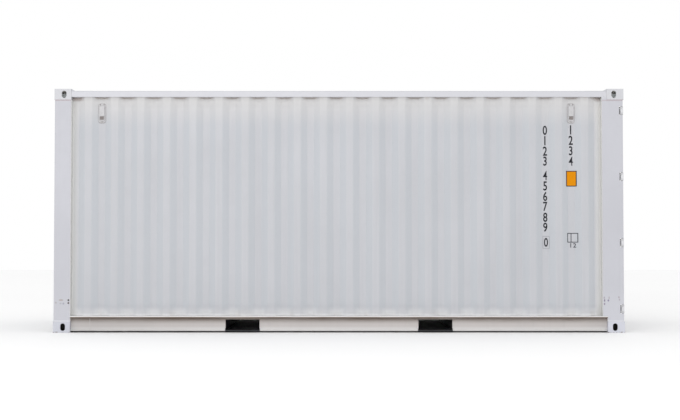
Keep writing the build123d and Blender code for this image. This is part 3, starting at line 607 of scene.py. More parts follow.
def film(tone, fade=0.25, gloss=0.25):
    """Printed film or marking paint, worn thin in specks."""
    graph = Graph()
    graph.colour = tone
    specks = graph.span(graph.noise(240.0, 5.0, 0.7), 0.60, 0.68)
    graph.over(tuple(min(1.0, part * 0.5 + 0.28) for part in tone), specks, fade)
    graph.bump(graph.noise(800.0), 0.1, 0.0002)
    return graph.done(graph.cloud(70.0, 3.0, 0.40, 0.58), Specular_IOR_Level=gloss)


def studio_paint():
    """The pale floor of the studio, with faint broad clouds."""
    graph = Graph()
    graph.colour = graph.mix(graph.cloud(0.2), (0.95, 0.95, 0.95), (0.96, 0.96, 0.96))
    return graph.done(0.95)


MATERIALS = {
    "wall_paint": wall_paint(),
    "frame_paint": frame_paint(),
    "fitting_paint": casting_paint(),
    "lug_paint": lug_paint(),
    "base_paint": rail_paint(),
    "roof_paint": paint((0.52, 0.527, 0.552), 0.08, rough=0.5),
    "door_paint": paint((0.520, 0.528, 0.556), 0.04, 0.05, grime=0.3),
    "hinge_paint": paint((0.66, 0.66, 0.68), 0.05),
    "weld_paint": paint((0.56, 0.55, 0.56), 0.08, grime=0.15),
    "stained_weld": paint((0.45, 0.40, 0.42), 0.1),
    "underside_paint": underseal(),
    "floor_wood": plywood(),
    "bare_steel": zinc((0.42, 0.42, 0.43), 0.5),
    "lock_zinc": zinc((0.55, 0.56, 0.58), 0.22),
    "vent_plastic": plastic((0.535, 0.53, 0.54)),
    "vent_mesh": plastic((0.50, 0.455, 0.445), 0.7, 0.3),
    "mouth_shade": plastic((0.20, 0.17, 0.165), 0.8, 0.3),
    "door_rubber": plastic((0.022, 0.022, 0.024), 0.62, 0.4),
    "sealant": plastic((0.55, 0.555, 0.545), 0.6, 0.5),
    "marking": film((0.016, 0.017, 0.022), 0.08),
    "orange_film": film((0.70, 0.255, 0.001), 0.03, 0.08),
    "grey_film": film((0.28, 0.29, 0.32)),
    "box_film": film((0.060, 0.064, 0.075)),
    "studio_floor": studio_paint(),
}
for name, material in MATERIALS.items():
    material.name = name


# Mesh helpers

def even(low, high, count):
    """Evenly spaced values from one to another, both included."""
    return [low + (high - low) * step / count for step in range(count + 1)]


def middles(low, high, count):
    """The middles of equal bays between two values."""
    return [low + (high - low) * (step + 0.5) / count for step in range(count)]


def resample(line, step):
    """Points at even distances along a line of straight runs."""
    out = [line[0]]
    for start, stop in zip(line, line[1:]):
        count = max(1, round((stop - start).length / step))
        out += [start.lerp(stop, (number + 1) / count) for number in range(count)]
    return out


def circle(centre, across, up, radius, sides):
    """Points around a centre, in the plane of two directions."""
    turns = [2 * math.pi * step / sides for step in range(sides)]
    return [centre + (across * math.cos(turn) + up * math.sin(turn)) * radius for turn in turns]


def put(name, data):
    obj = bpy.data.objects.new(name, data)
    scene.collection.objects.link(obj)
    return obj


class Parts:
    """Collects simple closed forms into one mesh."""

    def __init__(self):
        self.verts = []
        self.faces = []
        self.marks = []

    def add(self, verts, faces, mark=0):
        start = len(self.verts)
        self.verts += [Vector(vert) for vert in verts]
        self.faces += [[start + corner for corner in face] for face in faces]
        self.marks += [mark] * len(faces)

    def block(self, low, high, mark=0):
        xs, ys, zs = zip(low, high)
        verts = [(x, y, z) for x in xs for y in ys for z in zs]
        faces = [(0, 1, 3, 2), (4, 6, 7, 5), (0, 4, 5, 1), (2, 3, 7, 6), (0, 2, 6, 4), (1, 5, 7, 3)]
        self.add(verts, faces, mark)

    def loft(self, rings, mark=0, closed_ends=True):
        """Rings of the same number of points, joined one after another."""
        count = len(rings[0])
        verts = [point for ring in rings for point in ring]
        faces = []
        for low in range(0, len(verts) - count, count):
            for spot in range(count):
                after = (spot + 1) % count
                faces.append((low + spot, low + after, low + count + after, low + count + spot))
        if closed_ends:
            faces.append(tuple(range(count))[::-1])
            faces.append(tuple(range(len(verts) - count, len(verts))))
        self.add(verts, faces, mark)

    def disc(self, centre, normal, profile, sides, mark=0):
        """A turned form: pairs of radius and height along the normal, from its foot up."""
        normal = Vector(normal)
        across = normal.orthogonal().normalized()
        other = normal.cross(across)
        rings = []
        for radius, height in profile:
            rings.append(circle(Vector(centre) + normal * height, across, other, radius, sides))
        self.loft(rings, mark)

    def bead(self, points, radius, step=BEAD_STEP, mark=0):
        """A run of weld along a line, with a ripple in its thickness."""
        line = resample([Vector(point) for point in points], step)
        last = len(line) - 1
        rings = []
        for number, here in enumerate(line):
            way = (line[min(number + 1, last)] - line[max(number - 1, 0)]).normalized()
            side = way.orthogonal().normalized()
            swell = 1 + RIPPLE * noise.noise(here * RIPPLE_RATE) + BEAT * (number % 2)
            if number in (0, last):
                swell *= TIP
            rings.append(circle(here, side, way.cross(side), radius * swell, BEAD_SIDES))
        self.loft(rings, mark)

    def upright(self, x, y, low, high, radius, step=BEAD_STEP):
        """A straight bead that stands upright."""
        self.bead([(x, y, low), (x, y, high)], radius, step)

    def flipped(self):
        """A copy on the other long side, without the first."""
        twin = Parts()
        twin.add([(vert.x, -vert.y, vert.z) for vert in self.verts], [face[::-1] for face in self.faces])
        twin.marks = list(self.marks)
        return twin

    def mirrored(self):
        """The same forms again on the other long side."""
        twin = self.flipped()
        self.add(twin.verts, twin.faces)
        self.marks[-len(twin.marks):] = twin.marks
        return self

    def piece(self, name, slot, materials=(), smooth=False, body="container", replaces=()):
        mesh = bpy.data.meshes.new(name)
        mesh.from_pydata([tuple(vert) for vert in self.verts], [], self.faces)
        tidy = bmesh.new()
        tidy.from_mesh(mesh)
        bmesh.ops.recalc_face_normals(tidy, faces=tidy.faces)
        tidy.to_mesh(mesh)
        tidy.free()
        for material in materials or (slot,):
            mesh.materials.append(MATERIALS[material])
        for face, mark in zip(mesh.polygons, self.marks):
            face.material_index = mark
            face.use_smooth = smooth
        obj = put(name, mesh)
        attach(obj, body)
        if replaces:
            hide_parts(*replaces)

    def on_doors(self, name, slot, smooth=False):
        """The forms of the left leaf as one piece, and their mirror image on the right leaf."""
        self.piece("left_" + name, slot, smooth=smooth, body="left_door")
        self.flipped().piece("right_" + name, slot, smooth=smooth, body="right_door")


# Side walls

def wave(length, count, margin, slope, share, deep):
    """Trapezoid waves along a length: ridges at 0, valleys and both ends at deep."""
    flat = (length - 2 * margin - 2 * count * slope) / (count - 1 + share)
    ridge = flat * share
    points = [(0.0, deep)]
    for number in range(count):
        start = margin + number * (flat + 2 * slope)
        points.append((start, deep))
        points.append((start + slope, 0.0))
        points.append((start + slope + ridge, 0.0))
        points.append((start + 2 * slope + ridge, deep))
    points.append((length, deep))
    return points


def wall_corners():
    """The corners of the wall's middle line: along X, and in from the outermost face."""
    deep = WALL_HIGH.y - WALL_LOW.y - SHEET
    line = wave(WALL_HIGH.x - WALL_LOW.x, RIDGES, RIDGE_MARGIN, SLOPE_RUN, RIDGE_SHARE, deep)
    outer = WALL_LOW.y + SHEET / 2
    return [Vector((WALL_LOW.x + along, outer + inward)) for along, inward in line]


def rounded(points, radius, steps):
    """The same line with each corner turned into an arc."""
    out = [points[0]]
    for before, here, after in zip(points, points[1:], points[2:]):
        back = (before - here).normalized()
        ahead = (after - here).normalized()
        cut = radius * math.tan((math.pi - back.angle(ahead)) / 2)
        start, stop = here + back * cut, here + ahead * cut
        for share in even(0.0, 1.0, steps):
            out.append(start.lerp(here, share).lerp(here.lerp(stop, share), share))
    out.append(points[-1])
    return out


def beside(points, gap):
    """The same line moved sideways by a gap."""
    out = []
    for number, here in enumerate(points):
        before = points[max(number - 1, 0)]
        after = points[min(number + 1, len(points) - 1)]
        way = (after - before).normalized()
        out.append(here + Vector((-way.y, way.x)) * gap)
    return out


WALL_LINE = rounded(wall_corners(), BEND_R, BEND_STEPS)
WALL_OUTER = beside(WALL_LINE, -SHEET / 2)
WALL_INNER = beside(WALL_LINE, SHEET / 2)


def dent(x, z):
    """How far the sheet bulges inwards at a place: none at its four edges."""
    edge = min(x - WALL_LOW.x, WALL_HIGH.x - x, z - WALL_LOW.z, WALL_HIGH.z - z)
    fade = min(max(edge / DENT_EDGE, 0.0), 1.0)
    bulge = 0.0
    for share, along, up, seed in DENT_WAVES:
        bulge += share * noise.noise(Vector((x * along, z * up, seed)))
    return fade * DENT * bulge


def outer_y(x, z):
    """The outer face of the near wall at a place."""
    for start, stop in zip(WALL_OUTER, WALL_OUTER[1:]):
        if start.x <= x <= stop.x:
            share = (x - start.x) / (stop.x - start.x)
            return start.y + (stop.y - start.y) * share + dent(x, z)
    return WALL_HIGH.y


def wall_skin():
    """The corrugated sheet with its dents."""
    parts = Parts()
    rings = []
    for z in even(WALL_LOW.z, WALL_HIGH.z, WALL_ROWS):
        rings.append([(point.x, point.y + dent(point.x, z), z) for point in WALL_OUTER + WALL_INNER[::-1]])
    parts.loft(rings)
    return parts


def wall_beads():
    """Weld along the wall's foot and head."""
    parts = Parts()
    for z in (WALL_LOW.z, WALL_HIGH.z):
        parts.bead([(point.x, point.y - BEAD_OUT, z) for point in WALL_OUTER[::2]], SHEET_BEAD, LONG_STEP)
    return parts


def joint_beads():
    """Welds between the fittings, the posts and the rails on one side."""
    parts = Parts()
    face = FRONT_POST_LOW.y + JOINT_SUNK
    rear_start = WHOLE_HIGH.x - (FITTING_HIGH.x - FITTING_LOW.x)
    front = (WHOLE_LOW.x + FRONT_JOINT_END, FRONT_POST_HIGH.x)
    rear = (rear_start + REAR_JOINT_STEP, WHOLE_HIGH.x - REAR_JOINT_END)
    for start, stop in (front, rear):
        for mark, z in ((1, FITTING_HIGH.z), (2, TOP_FITTING_LOW.z)):
            parts.bead([(start, face, z), (stop, face, z)], JOINT_BEAD, mark=mark)
    low, high = WALL_LOW.z + POST_BEAD_END, WALL_HIGH.z - POST_BEAD_END
    for x in (WALL_LOW.x, WALL_HIGH.x):
        parts.upright(x, face + BEAD_OUT, low, high, EDGE_BEAD)
    for x in (FITTING_HIGH.x, -FITTING_HIGH.x):
        parts.upright(x, BASE_RAIL_LOW.y + LIP_SUNK, LIP_FOOT, WALL_LOW.z - LIP_END, END_BEAD)
        parts.upright(x, TOP_RAIL_LOW.y + RAIL_SUNK, TOP_RAIL_LOW.z, TOP_RAIL_HIGH.z, RAIL_BEAD)
    seam = from_photo(RAIL_SEAM_PX, PX_BASE)[0]
    parts.upright(seam, TOP_RAIL_HIGH.y - WEB_FACE, SEAM_LOW, SEAM_HIGH, SEAM_BEAD)
    return parts


def post_seams():
    """A line of sealant in the corner between each post and the wall."""
    parts = Parts()
    for x, way in ((WALL_LOW.x, 1), (WALL_HIGH.x, -1)):
        y = outer_y(x + way * SEALANT_ASIDE, SEALANT_LEVEL) - SEALANT_OUT
        low, high = WALL_LOW.z + SEALANT_END, WALL_HIGH.z - SEALANT_END
        parts.upright(x + way * SEALANT_IN, y, low, high, SEALANT_R, SMOOTH_STEP)
    return parts


wall = wall_skin()
wall.piece("side_skin_left", "wall_paint", smooth=True, replaces=("side_wall_left",))
wall.flipped().piece("side_skin_right", "wall_paint", smooth=True, replaces=("side_wall_right",))
wall_beads().mirrored().piece("wall_welds", "wall_paint", ["weld_paint"], True)
# The welds along the tops of the bottom fittings take the lighter hinge paint as a painted highlight
joint_materials = ["weld_paint", "hinge_paint", "stained_weld"]
joint_beads().mirrored().piece("joint_welds", "frame_paint", joint_materials, True)
post_seams().mirrored().piece("post_sealant", "wall_paint", ["sealant"], True)


# Markings on the near wall

GLYPH_WIDE = 0.046
GLYPH_HIGH = 0.099
GLYPH_SWELL = 0.018
FOUR_SWELL = 0.004
FRAMED_WIDE = GLYPH_WIDE * 0.92
FRAMED_HIGH = GLYPH_HIGH * 0.95
SMALL_WIDE = 0.032
SMALL_HIGH = 0.047
FILM_OUT = 0.0007
FILM_THICK = 0.0004
FRAME_LINE = 0.004
ORANGE_RIM = 0.009
BOX_LINE = 0.0085
BOX_DIVIDER = 0.32
PATCH_COLUMN = 0.004
PATCH_ROW = 0.06

# Columns and rows of pixels in the photograph: the middles of the framed digit and of the digits in
# the box, the upper edges of the others, and two corners of the frame, the orange film and the box
LONG_COLUMN_PX = 545.3
LONG_ROWS_PX = (117.2, 128.6, 140.1, 151.1, 166.9, 178.4, 189.9, 200.9, 212.8, 223.8)
SHORT_COLUMN_PX = 571.1
SHORT_ROWS_PX = (116.7, 128.2, 139.7, 151.1)
FRAMED_DIGIT_PX = (545.9, 245.4)
FRAME_PX = ((542.6, 252.2), (549.3, 238.6))
ORANGE_PX = ((566.1, 184.1), (576.7, 166.9))
BOX_PX = ((567.1, 245.6), (577.8, 235.1))
BOX_COLUMNS_PX = (570.6, 574.4)
BOX_ROW_PX = 248.7


def glyph_mesh(letter):
    """The outline of one digit as a thin slab, fitted to a box of one unit each way."""
    curve = bpy.data.curves.new("glyph", "FONT")
    curve.body = letter
    curve.extrude = 0.5
    curve.offset = FOUR_SWELL if letter == "4" else GLYPH_SWELL
    curve.resolution_u = 6
    holder = put("glyph", curve)
    mesh = bpy.data.meshes.new_from_object(holder)
    bpy.data.objects.remove(holder)
    bpy.data.curves.remove(curve)
    spots = [vert.co.copy() for vert in mesh.vertices]
    faces = [list(face.vertices) for face in mesh.polygons]
    bpy.data.meshes.remove(mesh)
    left, foot = min(spot.x for spot in spots), min(spot.y for spot in spots)
    wide, high = max(spot.x for spot in spots) - left, max(spot.y for spot in spots) - foot
    shaped = [((spot.x - left) / wide - 0.5, (spot.y - foot) / high - 0.5, spot.z) for spot in spots]
    return shaped, faces, wide


GLYPHS = {letter: glyph_mesh(letter) for letter in "0123456789"}


def place_glyph(parts, letter, x, z, wide=GLYPH_WIDE, high=GLYPH_HIGH, mark=0):
    shaped, faces, own_wide = GLYPHS[letter]
    wide *= min(own_wide / GLYPHS["0"][2], 1.0)
    verts = []
    for across, up, out in shaped:
        spot_x = x + across * wide
        spot_z = z + up * high
        verts.append((spot_x, outer_y(spot_x, spot_z) - FILM_OUT - out * FILM_THICK, spot_z))
    parts.add(verts, faces, mark)


def patch(parts, low, high, mark=0):
    """A thin slab that follows the wall between two corners, along X and up."""
    columns = even(low[0], high[0], max(2, round((high[0] - low[0]) / PATCH_COLUMN)))
    rings = []
    for z in even(low[1], high[1], max(2, round((high[1] - low[1]) / PATCH_ROW))):
        back = [(x, outer_y(x, z) - FILM_OUT + FILM_THICK / 2, z) for x in columns]
        rings.append([(x, y - FILM_THICK, z) for x, y, z in back] + back[::-1])
    parts.loft(rings, mark)


def frame_patch(parts, low, high, line, mark):
    """Four thin strips around a rectangle on the wall."""
    patch(parts, low, (high[0], low[1] + line), mark)
    patch(parts, (low[0], high[1] - line), high, mark)
    for left in (low[0], high[0] - line):
        patch(parts, (left, low[1] + line), (left + line, high[1] - line), mark)


def digits():
    """Two columns of plain digits, one below the other, and one digit in a frame."""
    parts = Parts()
    columns = (("0123456789", LONG_COLUMN_PX, LONG_ROWS_PX), ("1234", SHORT_COLUMN_PX, SHORT_ROWS_PX))
    for text, column, rows in columns:
        for letter, row in zip(text, rows):
            x, z = on_wall(column, row)
            place_glyph(parts, letter, x, z - GLYPH_HIGH / 2)
    place_glyph(parts, "0", *on_wall(*FRAMED_DIGIT_PX), FRAMED_WIDE, FRAMED_HIGH)
    low, high = (on_wall(*corner) for corner in FRAME_PX)
    frame_patch(parts, low, high, FRAME_LINE, 1)
    return parts


def plates():
    """A blank orange film with a dark rim, and an outlined box with a divider above two digits."""
    parts = Parts()
    low, high = (on_wall(*corner) for corner in ORANGE_PX)
    patch(parts, [side + ORANGE_RIM for side in low], [side - ORANGE_RIM for side in high])
    frame_patch(parts, low, high, ORANGE_RIM, 1)
    low, high = (on_wall(*corner) for corner in BOX_PX)
    frame_patch(parts, low, high, BOX_LINE, 2)
    divider = low[0] + (high[0] - low[0]) * BOX_DIVIDER
    patch(parts, (divider, low[1] + BOX_LINE), (divider + BOX_LINE, high[1] - BOX_LINE), 2)
    for letter, column in zip("12", BOX_COLUMNS_PX):
        place_glyph(parts, letter, *on_wall(column, BOX_ROW_PX), SMALL_WIDE, SMALL_HIGH, 2)
    return parts


digits().piece("wall_digits", "wall_paint", ["marking", "grey_film"])
plates().piece("wall_films", "wall_paint", ["orange_film", "marking", "box_film"])


# Ventilators

VENT_WIDE = 0.074
VENT_ROUND = 0.020
VENT_PLATE = 0.004
VENT_FOOT = 0.002
FOOT_HALF = 0.033
COVER_WIDE = 0.058
COVER_DEEP = 0.017
COVER_ROUND = 0.006
COVER_SLOPE = math.tan(math.radians(14))
COVER_LIP = 0.017
COVER_TAB = 0.026
MOUTH_WIDE = 0.046
MOUTH_HIGH = 0.040
MOUTH_DEEP = 0.012
MOUTH_UP = 0.013
MOUTH_ROUND = 0.003
MOUTH_EDGE = 0.001
MOUTH_TURN = 0.0012
RIVET_OUT = 0.020
RIB_UP = 0.026
RIB_SHORT = 0.050
BAR_HALF = 0.0006
BAR_THICK = 0.0012
BAR_DEEP = 0.003
CROSS_THICK = 0.001
BARS_ACROSS = 8
BARS_UP = 7
GROUND_THICK = 0.0006
GROUND_IN = 0.002
SEAL_R = 0.0017
SEAL_OUT = 0.0004
SEAL_BACK = 0.0006

# Planes of every ventilator, from the container's frame
VENT_MIDDLE = (VENT_LOW.z + VENT_HIGH.z) / 2
VENT_HALF = (VENT_HIGH.z - VENT_LOW.z) / 2
VALLEY_Y = WALL_HIGH.y - SHEET
BACK_Y = VALLEY_Y - VENT_FOOT
SEAT_Y = BACK_Y - VENT_PLATE
FRONT_Y = SEAT_Y - COVER_DEEP
COVER_LOW = VENT_LOW.z + COVER_LIP
COVER_HIGH = VENT_HIGH.z - COVER_TAB
COVER_MIDDLE = (COVER_LOW + COVER_HIGH) / 2
COVER_HALF = (COVER_HIGH - COVER_LOW) / 2
MOUTH_LOW = COVER_LOW + MOUTH_UP
MOUTH_TOP = MOUTH_LOW + MOUTH_HIGH
MOUTH_MIDDLE = (MOUTH_LOW + MOUTH_TOP) / 2

# Sections: the plate's edge as height and shrinkage, the cover's as shares of its depth and further
# shrinkage, the rib's as half its width, its height and shortening, and the fasteners' as for a disc
PLATE_EDGE = ((VENT_PLATE, 0.0), (0.0012, 0.0), (0.0004, 0.0004), (0.0, 0.0014))
COVER_EDGE = ((0.0, 0.0), (0.6, 0.0), (0.86, 0.0003), (0.96, 0.0008), (1.0, 0.0016))
RIB_EDGE = ((0.0012, 0.0010, -0.0004, 0.0), (0.0007, 0.0006, 0.0010, 0.0005))
RIVET = ((0.0060, -0.0004), (0.0060, 0.0010), (0.0046, 0.0022), (0.0015, 0.0028))
VENT_SCREW = ((0.0046, -0.0004), (0.0046, 0.0008), (0.0015, 0.0014))


def round_box(x, z, half_x, half_z, radius, y, steps=6):
    """A rounded rectangle in a plane that faces along Y."""
    ring = []
    for quarter, (way_x, way_z) in enumerate(((1, 1), (-1, 1), (-1, -1), (1, -1))):
        centre_x = x + way_x * (half_x - radius)
        centre_z = z + way_z * (half_z - radius)
        for share in even(0.0, 1.0, steps):
            turn = math.pi / 2 * (quarter + share)
            ring.append((centre_x + radius * math.cos(turn), y, centre_z + radius * math.sin(turn)))
    return ring


def vent_plate(parts, x):
    """The rounded plate, and its foot against the valley of the wall."""
    rings = []
    for back, shrink in PLATE_EDGE:
        half, radius = VENT_WIDE / 2 - shrink, VENT_ROUND - shrink
        rings.append(round_box(x, VENT_MIDDLE, half, VENT_HALF - shrink, radius, SEAT_Y + back))
    parts.loft(rings)
    low, high = VENT_LOW.z + VENT_ROUND, VENT_HIGH.z - VENT_ROUND
    parts.block((x - FOOT_HALF, BACK_Y, low), (x + FOOT_HALF, VALLEY_Y, high))


def vent_cover(parts, x):
    """The cover with rounded edges, its mouth and a low rib above it."""
    rings = []
    for share, extra in COVER_EDGE:
        deep = COVER_DEEP * share
        shrink = deep * COVER_SLOPE + extra
        half_x, half_z = COVER_WIDE / 2 - shrink, COVER_HALF - shrink
        rings.append(round_box(x, COVER_MIDDLE, half_x, half_z, COVER_ROUND, SEAT_Y - deep))
    for shrink, back in ((0.0, 0.0), (MOUTH_EDGE, MOUTH_TURN), (MOUTH_EDGE, MOUTH_DEEP)):
        half_x, half_z = MOUTH_WIDE / 2 - shrink, MOUTH_HIGH / 2 - shrink
        rings.append(round_box(x, MOUTH_MIDDLE, half_x, half_z, MOUTH_ROUND, FRONT_Y + back))
    parts.loft(rings)
    rings = []
    for half, radius, out, short in RIB_EDGE:
        half_z = COVER_HALF - RIB_SHORT - short
        rings.append(round_box(x, COVER_MIDDLE + RIB_UP, half, half_z, radius, FRONT_Y - out))
    parts.loft(rings)


def vent_grille(parts, x):
    """A dark sheet at the back of the mouth, standing in for its shade, with crossed bars before it."""
    half = MOUTH_WIDE / 2
    ground = FRONT_Y + MOUTH_DEEP - GROUND_THICK
    low = (x - half + GROUND_IN, ground - GROUND_THICK, MOUTH_LOW + GROUND_IN)
    high = (x + half - GROUND_IN, ground, MOUTH_TOP - GROUND_IN)
    # Painted shade: a dark sheet stands for the shade inside the mouth
    parts.block(low, high, 1)
    bar_y = FRONT_Y + BAR_DEEP
    cross_y = bar_y + BAR_THICK
    for spot in even(x - half, x + half, BARS_ACROSS)[1:-1]:
        parts.block((spot - BAR_HALF, bar_y, MOUTH_LOW), (spot + BAR_HALF, cross_y, MOUTH_TOP), 2)
    back_y = cross_y + CROSS_THICK
    for spot in even(MOUTH_LOW, MOUTH_TOP, BARS_UP)[1:-1]:
        parts.block((x - half, cross_y, spot - BAR_HALF), (x + half, back_y, spot + BAR_HALF), 2)


def vent_fixing(parts, x):
    """A bead of sealant around the plate, thicker below, two rivets and a screw."""
    half_x, half_z = VENT_WIDE / 2 + SEAL_OUT, VENT_HALF + SEAL_OUT
    outline = round_box(x, VENT_MIDDLE, half_x, half_z, VENT_ROUND, BACK_Y + SEAL_BACK, 4)
    parts.bead(outline + outline[:1], SEAL_R, SMOOTH_STEP, 1)
    lower = [point for point in outline if point[2] < VENT_LOW.z + VENT_ROUND / 2]
    parts.bead(lower, SEAL_R * 2, SMOOTH_STEP, 1)
    for way in (-1, 1):
        parts.disc((x + way * RIVET_OUT, SEAT_Y, VENT_HIGH.z - COVER_TAB / 2), (0, -1, 0), RIVET, 14, 1)
    parts.disc((x, SEAT_Y, VENT_LOW.z + COVER_LIP / 2), (0, -1, 0), VENT_SCREW, 12, 1)


def ventilators():
    parts = Parts()
    for x in (VENT_LOW.x + VENT_WIDE / 2, VENT_HIGH.x - VENT_WIDE / 2):
        vent_plate(parts, x)
        vent_cover(parts, x)
        vent_grille(parts, x)
        vent_fixing(parts, x)
    return parts.mirrored()


vent_materials = ["vent_plastic", "mouth_shade", "vent_mesh"]
ventilators().piece("ventilator_covers", "vent_plastic", vent_materials, replaces=("ventilators",))


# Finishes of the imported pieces: their paint, and edges rounded by a width for names that hold a word

SHARP_TURN = 32
BEVEL_TURN = 35
BEVELS = {
    0.0055: ("fitting",),
    0.006: ("wall", "roof_panel"),
    0.005: ("door_panel",),
    0.004: ("post",),
    0.003: ("rail", "header", "sill", "door_frame", "blades", "lugs"),
    0.002: ("rods", "handles", "catches", "keepers", "gasket"),
    0.0015: ("pins", "brackets", "members"),
    0.001: ("roof_plates", "fork_pocket", "boards"),
}
NODE_SLOTS = {row["node"]: row["material_slot"] for row in frame["record"]["subparts"]}


def shade_by_angle():
    """A modifier tree that shades smooth, with sharp edges where faces turn by much."""
    group = bpy.data.node_groups.new("shade_by_angle", "GeometryNodeTree")
    for way in ("INPUT", "OUTPUT"):
        group.interface.new_socket("Geometry", in_out=way, socket_type="NodeSocketGeometry")
    start = group.nodes.new("NodeGroupInput")
    stop = group.nodes.new("NodeGroupOutput")
    whole = group.nodes.new("GeometryNodeSetShadeSmooth")
    edges = group.nodes.new("GeometryNodeSetShadeSmooth")
    edges.domain = "EDGE"
    edges.inputs["Shade Smooth"].default_value = False
    angle = group.nodes.new("GeometryNodeInputMeshEdgeAngle")
    above = group.nodes.new("FunctionNodeCompare")
    above.operation = "GREATER_THAN"
    above.inputs["B"].default_value = math.radians(SHARP_TURN)
    group.links.new(angle.outputs["Unsigned Angle"], above.inputs["A"])
    group.links.new(above.outputs["Result"], edges.inputs["Selection"])
    group.links.new(start.outputs[0], whole.inputs["Geometry"])
    group.links.new(whole.outputs[0], edges.inputs["Geometry"])
    group.links.new(edges.outputs[0], stop.inputs[0])
    return group


SHADE = shade_by_angle()


def soften(obj, width):
    """Rounded edges, with the flat faces kept flat in the shading."""
    weld = obj.modifiers.new("weld", "WELD")
    weld.merge_threshold = 0.00002
    bevel = obj.modifiers.new("edges", "BEVEL")
    bevel.width = width
    bevel.segments = 2
    bevel.limit_method = "ANGLE"
    bevel.angle_limit = math.radians(BEVEL_TURN)
    bevel.use_clamp_overlap = True
    shade = obj.modifiers.new("shade", "NODES")
    shade.node_group = SHADE
    flats = obj.modifiers.new("flats", "WEIGHTED_NORMAL")
    flats.keep_sharp = True


def dress(node, obj):
    slot = NODE_SLOTS[node]
    if "_fitting_" in node:
        slot = "fitting_paint"
    if node == "hinge_lugs":
        slot = "lug_paint"
    if not obj.material_slots:
        obj.data.materials.append(MATERIALS[slot])
    for place in obj.material_slots:
        place.material = MATERIALS[slot]
    for width, words in BEVELS.items():
        if any(word in node for word in words):
            soften(obj, width)


for node, obj in frame["nodes"].items():
    dress(node, obj)


# Doors

HINGES = 4
PIN_REACH = 0.045
PIN_OUT = 0.005
BLADE_HALF = 0.025
BLADE_FACE = 2.952
BLADE_BOLTS = 3
BLADE_BOLT_END = 0.024
BLADE_BOLT_PITCH = 0.052
BRACKET_HALF = 0.048
BRACKET_END = 0.020
BRACKET_PLATE = 0.005
BRACKET_BOLT = 0.0065
BRACKET_BOLT_OUT = 0.0355
PANEL_RIDGES = 5
PANEL_MARGIN = 0.122
PANEL_SLOPE = 0.020
PANEL_SHARE = 0.719
PANEL_SHEET = 0.002
PANEL_PITCH = 0.360
PANEL_STEP = 0.016
CATCH_WIDE = 0.060
CATCH_PLATE = 0.008
CATCH_BOLT = 0.0055
CATCH_BOLT_DROP = 0.014
CATCH_BOLT_SHARES = (0.22, 0.78)
HANDLE_PITCH = 0.110
KEEPER_HALF = 0.028
KEEPER_EDGES = (0.034, 0.046)
REAR_FACE_DROP = 0.057
LUG_BEAD = (0.006, 0.022)
BOLT_DOME = ((0.0095, -0.0005), (0.0095, 0.0012), (0.0082, 0.0036), (0.0048, 0.0054), (0.0012, 0.0060))
PIN_HEAD = ((0.0122, -0.0035), (0.0128, -0.0028), (0.0128, 0.0004), (0.0108, 0.0024), (0.0045, 0.0034))

# Sections of a washer and of the hexagon head on it: shares of the head's half width, and heights
WASHER = ((1.25, -0.001), (1.25, 0.0016))
HEXAGON = ((1.0, 0.0014), (1.0, 0.0066), (0.82, 0.0082))


def hex_bolt(parts, x, y, z, half):
    """A washer and a chamfered hexagon head that faces along X."""
    for section, sides in ((WASHER, 18), (HEXAGON, 6)):
        parts.disc((x, y, z), (1, 0, 0), [(half * share, out) for share, out in section], sides)


def hinge_heights():
    return even(PIN_LOW.z + PIN_REACH, PIN_HIGH.z - PIN_REACH, HINGES - 1)


def rod_places():
    return BRACKET_LOW.y + BRACKET_HALF, BRACKET_TOP.y - BRACKET_HALF


def leaf_bolts():
    """Two bolts in each bracket of the lock rods, and two at the head of each handle catch."""
    parts = Parts()
    middle = (PANEL_HIGH.z + PANEL_LOW.z) / 2
    ends = (BRACKET_LOW.z + BRACKET_END, BRACKET_TOP.z - BRACKET_END)
    for y in rod_places():
        for z in (ends[0], middle - PANEL_PITCH, middle + PANEL_PITCH, ends[1]):
            for way in (-1, 1):
                side = y + way * BRACKET_BOLT_OUT
                hex_bolt(parts, PANEL_HIGH.x + BRACKET_PLATE, side, z, BRACKET_BOLT)
    for z, edge in ((CATCH_TOP.z, CATCH_LOW.y), (CATCH_TOP.z - HANDLE_PITCH, CATCH_TOP.y - CATCH_WIDE)):
        for share in CATCH_BOLT_SHARES:
            side = edge + CATCH_WIDE * share
            hex_bolt(parts, CATCH_LOW.x + CATCH_PLATE, side, z - CATCH_BOLT_DROP, CATCH_BOLT)
    return parts


def blade_bolts():
    """Round-headed bolts in each hinge blade."""
    parts = Parts()
    for z in hinge_heights():
        for step in range(BLADE_BOLTS):
            y = BLADE_TOP.y - BLADE_BOLT_END - BLADE_BOLT_PITCH * step
            parts.disc((BLADE_FACE, y, z), (1, 0, 0), BOLT_DOME, 18)
    return parts


def panel_seams():
    """Weld around the pressed sheet of a leaf, and along the edges of its hinge blades."""
    parts = Parts()
    face = PANEL_HIGH.x
    deep = PANEL_HIGH.x - PANEL_LOW.x - PANEL_SHEET
    line = wave(PANEL_HIGH.z - PANEL_LOW.z, PANEL_RIDGES, PANEL_MARGIN, PANEL_SLOPE, PANEL_SHARE, deep)
    for y in (PANEL_LOW.y, PANEL_HIGH.y):
        points = [(face - inward, y, PANEL_LOW.z + along) for along, inward in line]
        parts.bead(points, SHEET_BEAD, PANEL_STEP)
    for z in (PANEL_LOW.z, PANEL_HIGH.z):
        parts.bead([(face - deep, PANEL_LOW.y, z), (face - deep, PANEL_HIGH.y, z)], SHEET_BEAD, PANEL_STEP)
    for z in hinge_heights():
        for edge in (z - BLADE_HALF, z + BLADE_HALF):
            ends = (LEAF_LOW.y + BLADE_SEAM_END, BLADE_TOP.y)
            parts.bead([(face + RAIL_SUNK, y, edge) for y in ends], BLADE_BEAD)
    return parts


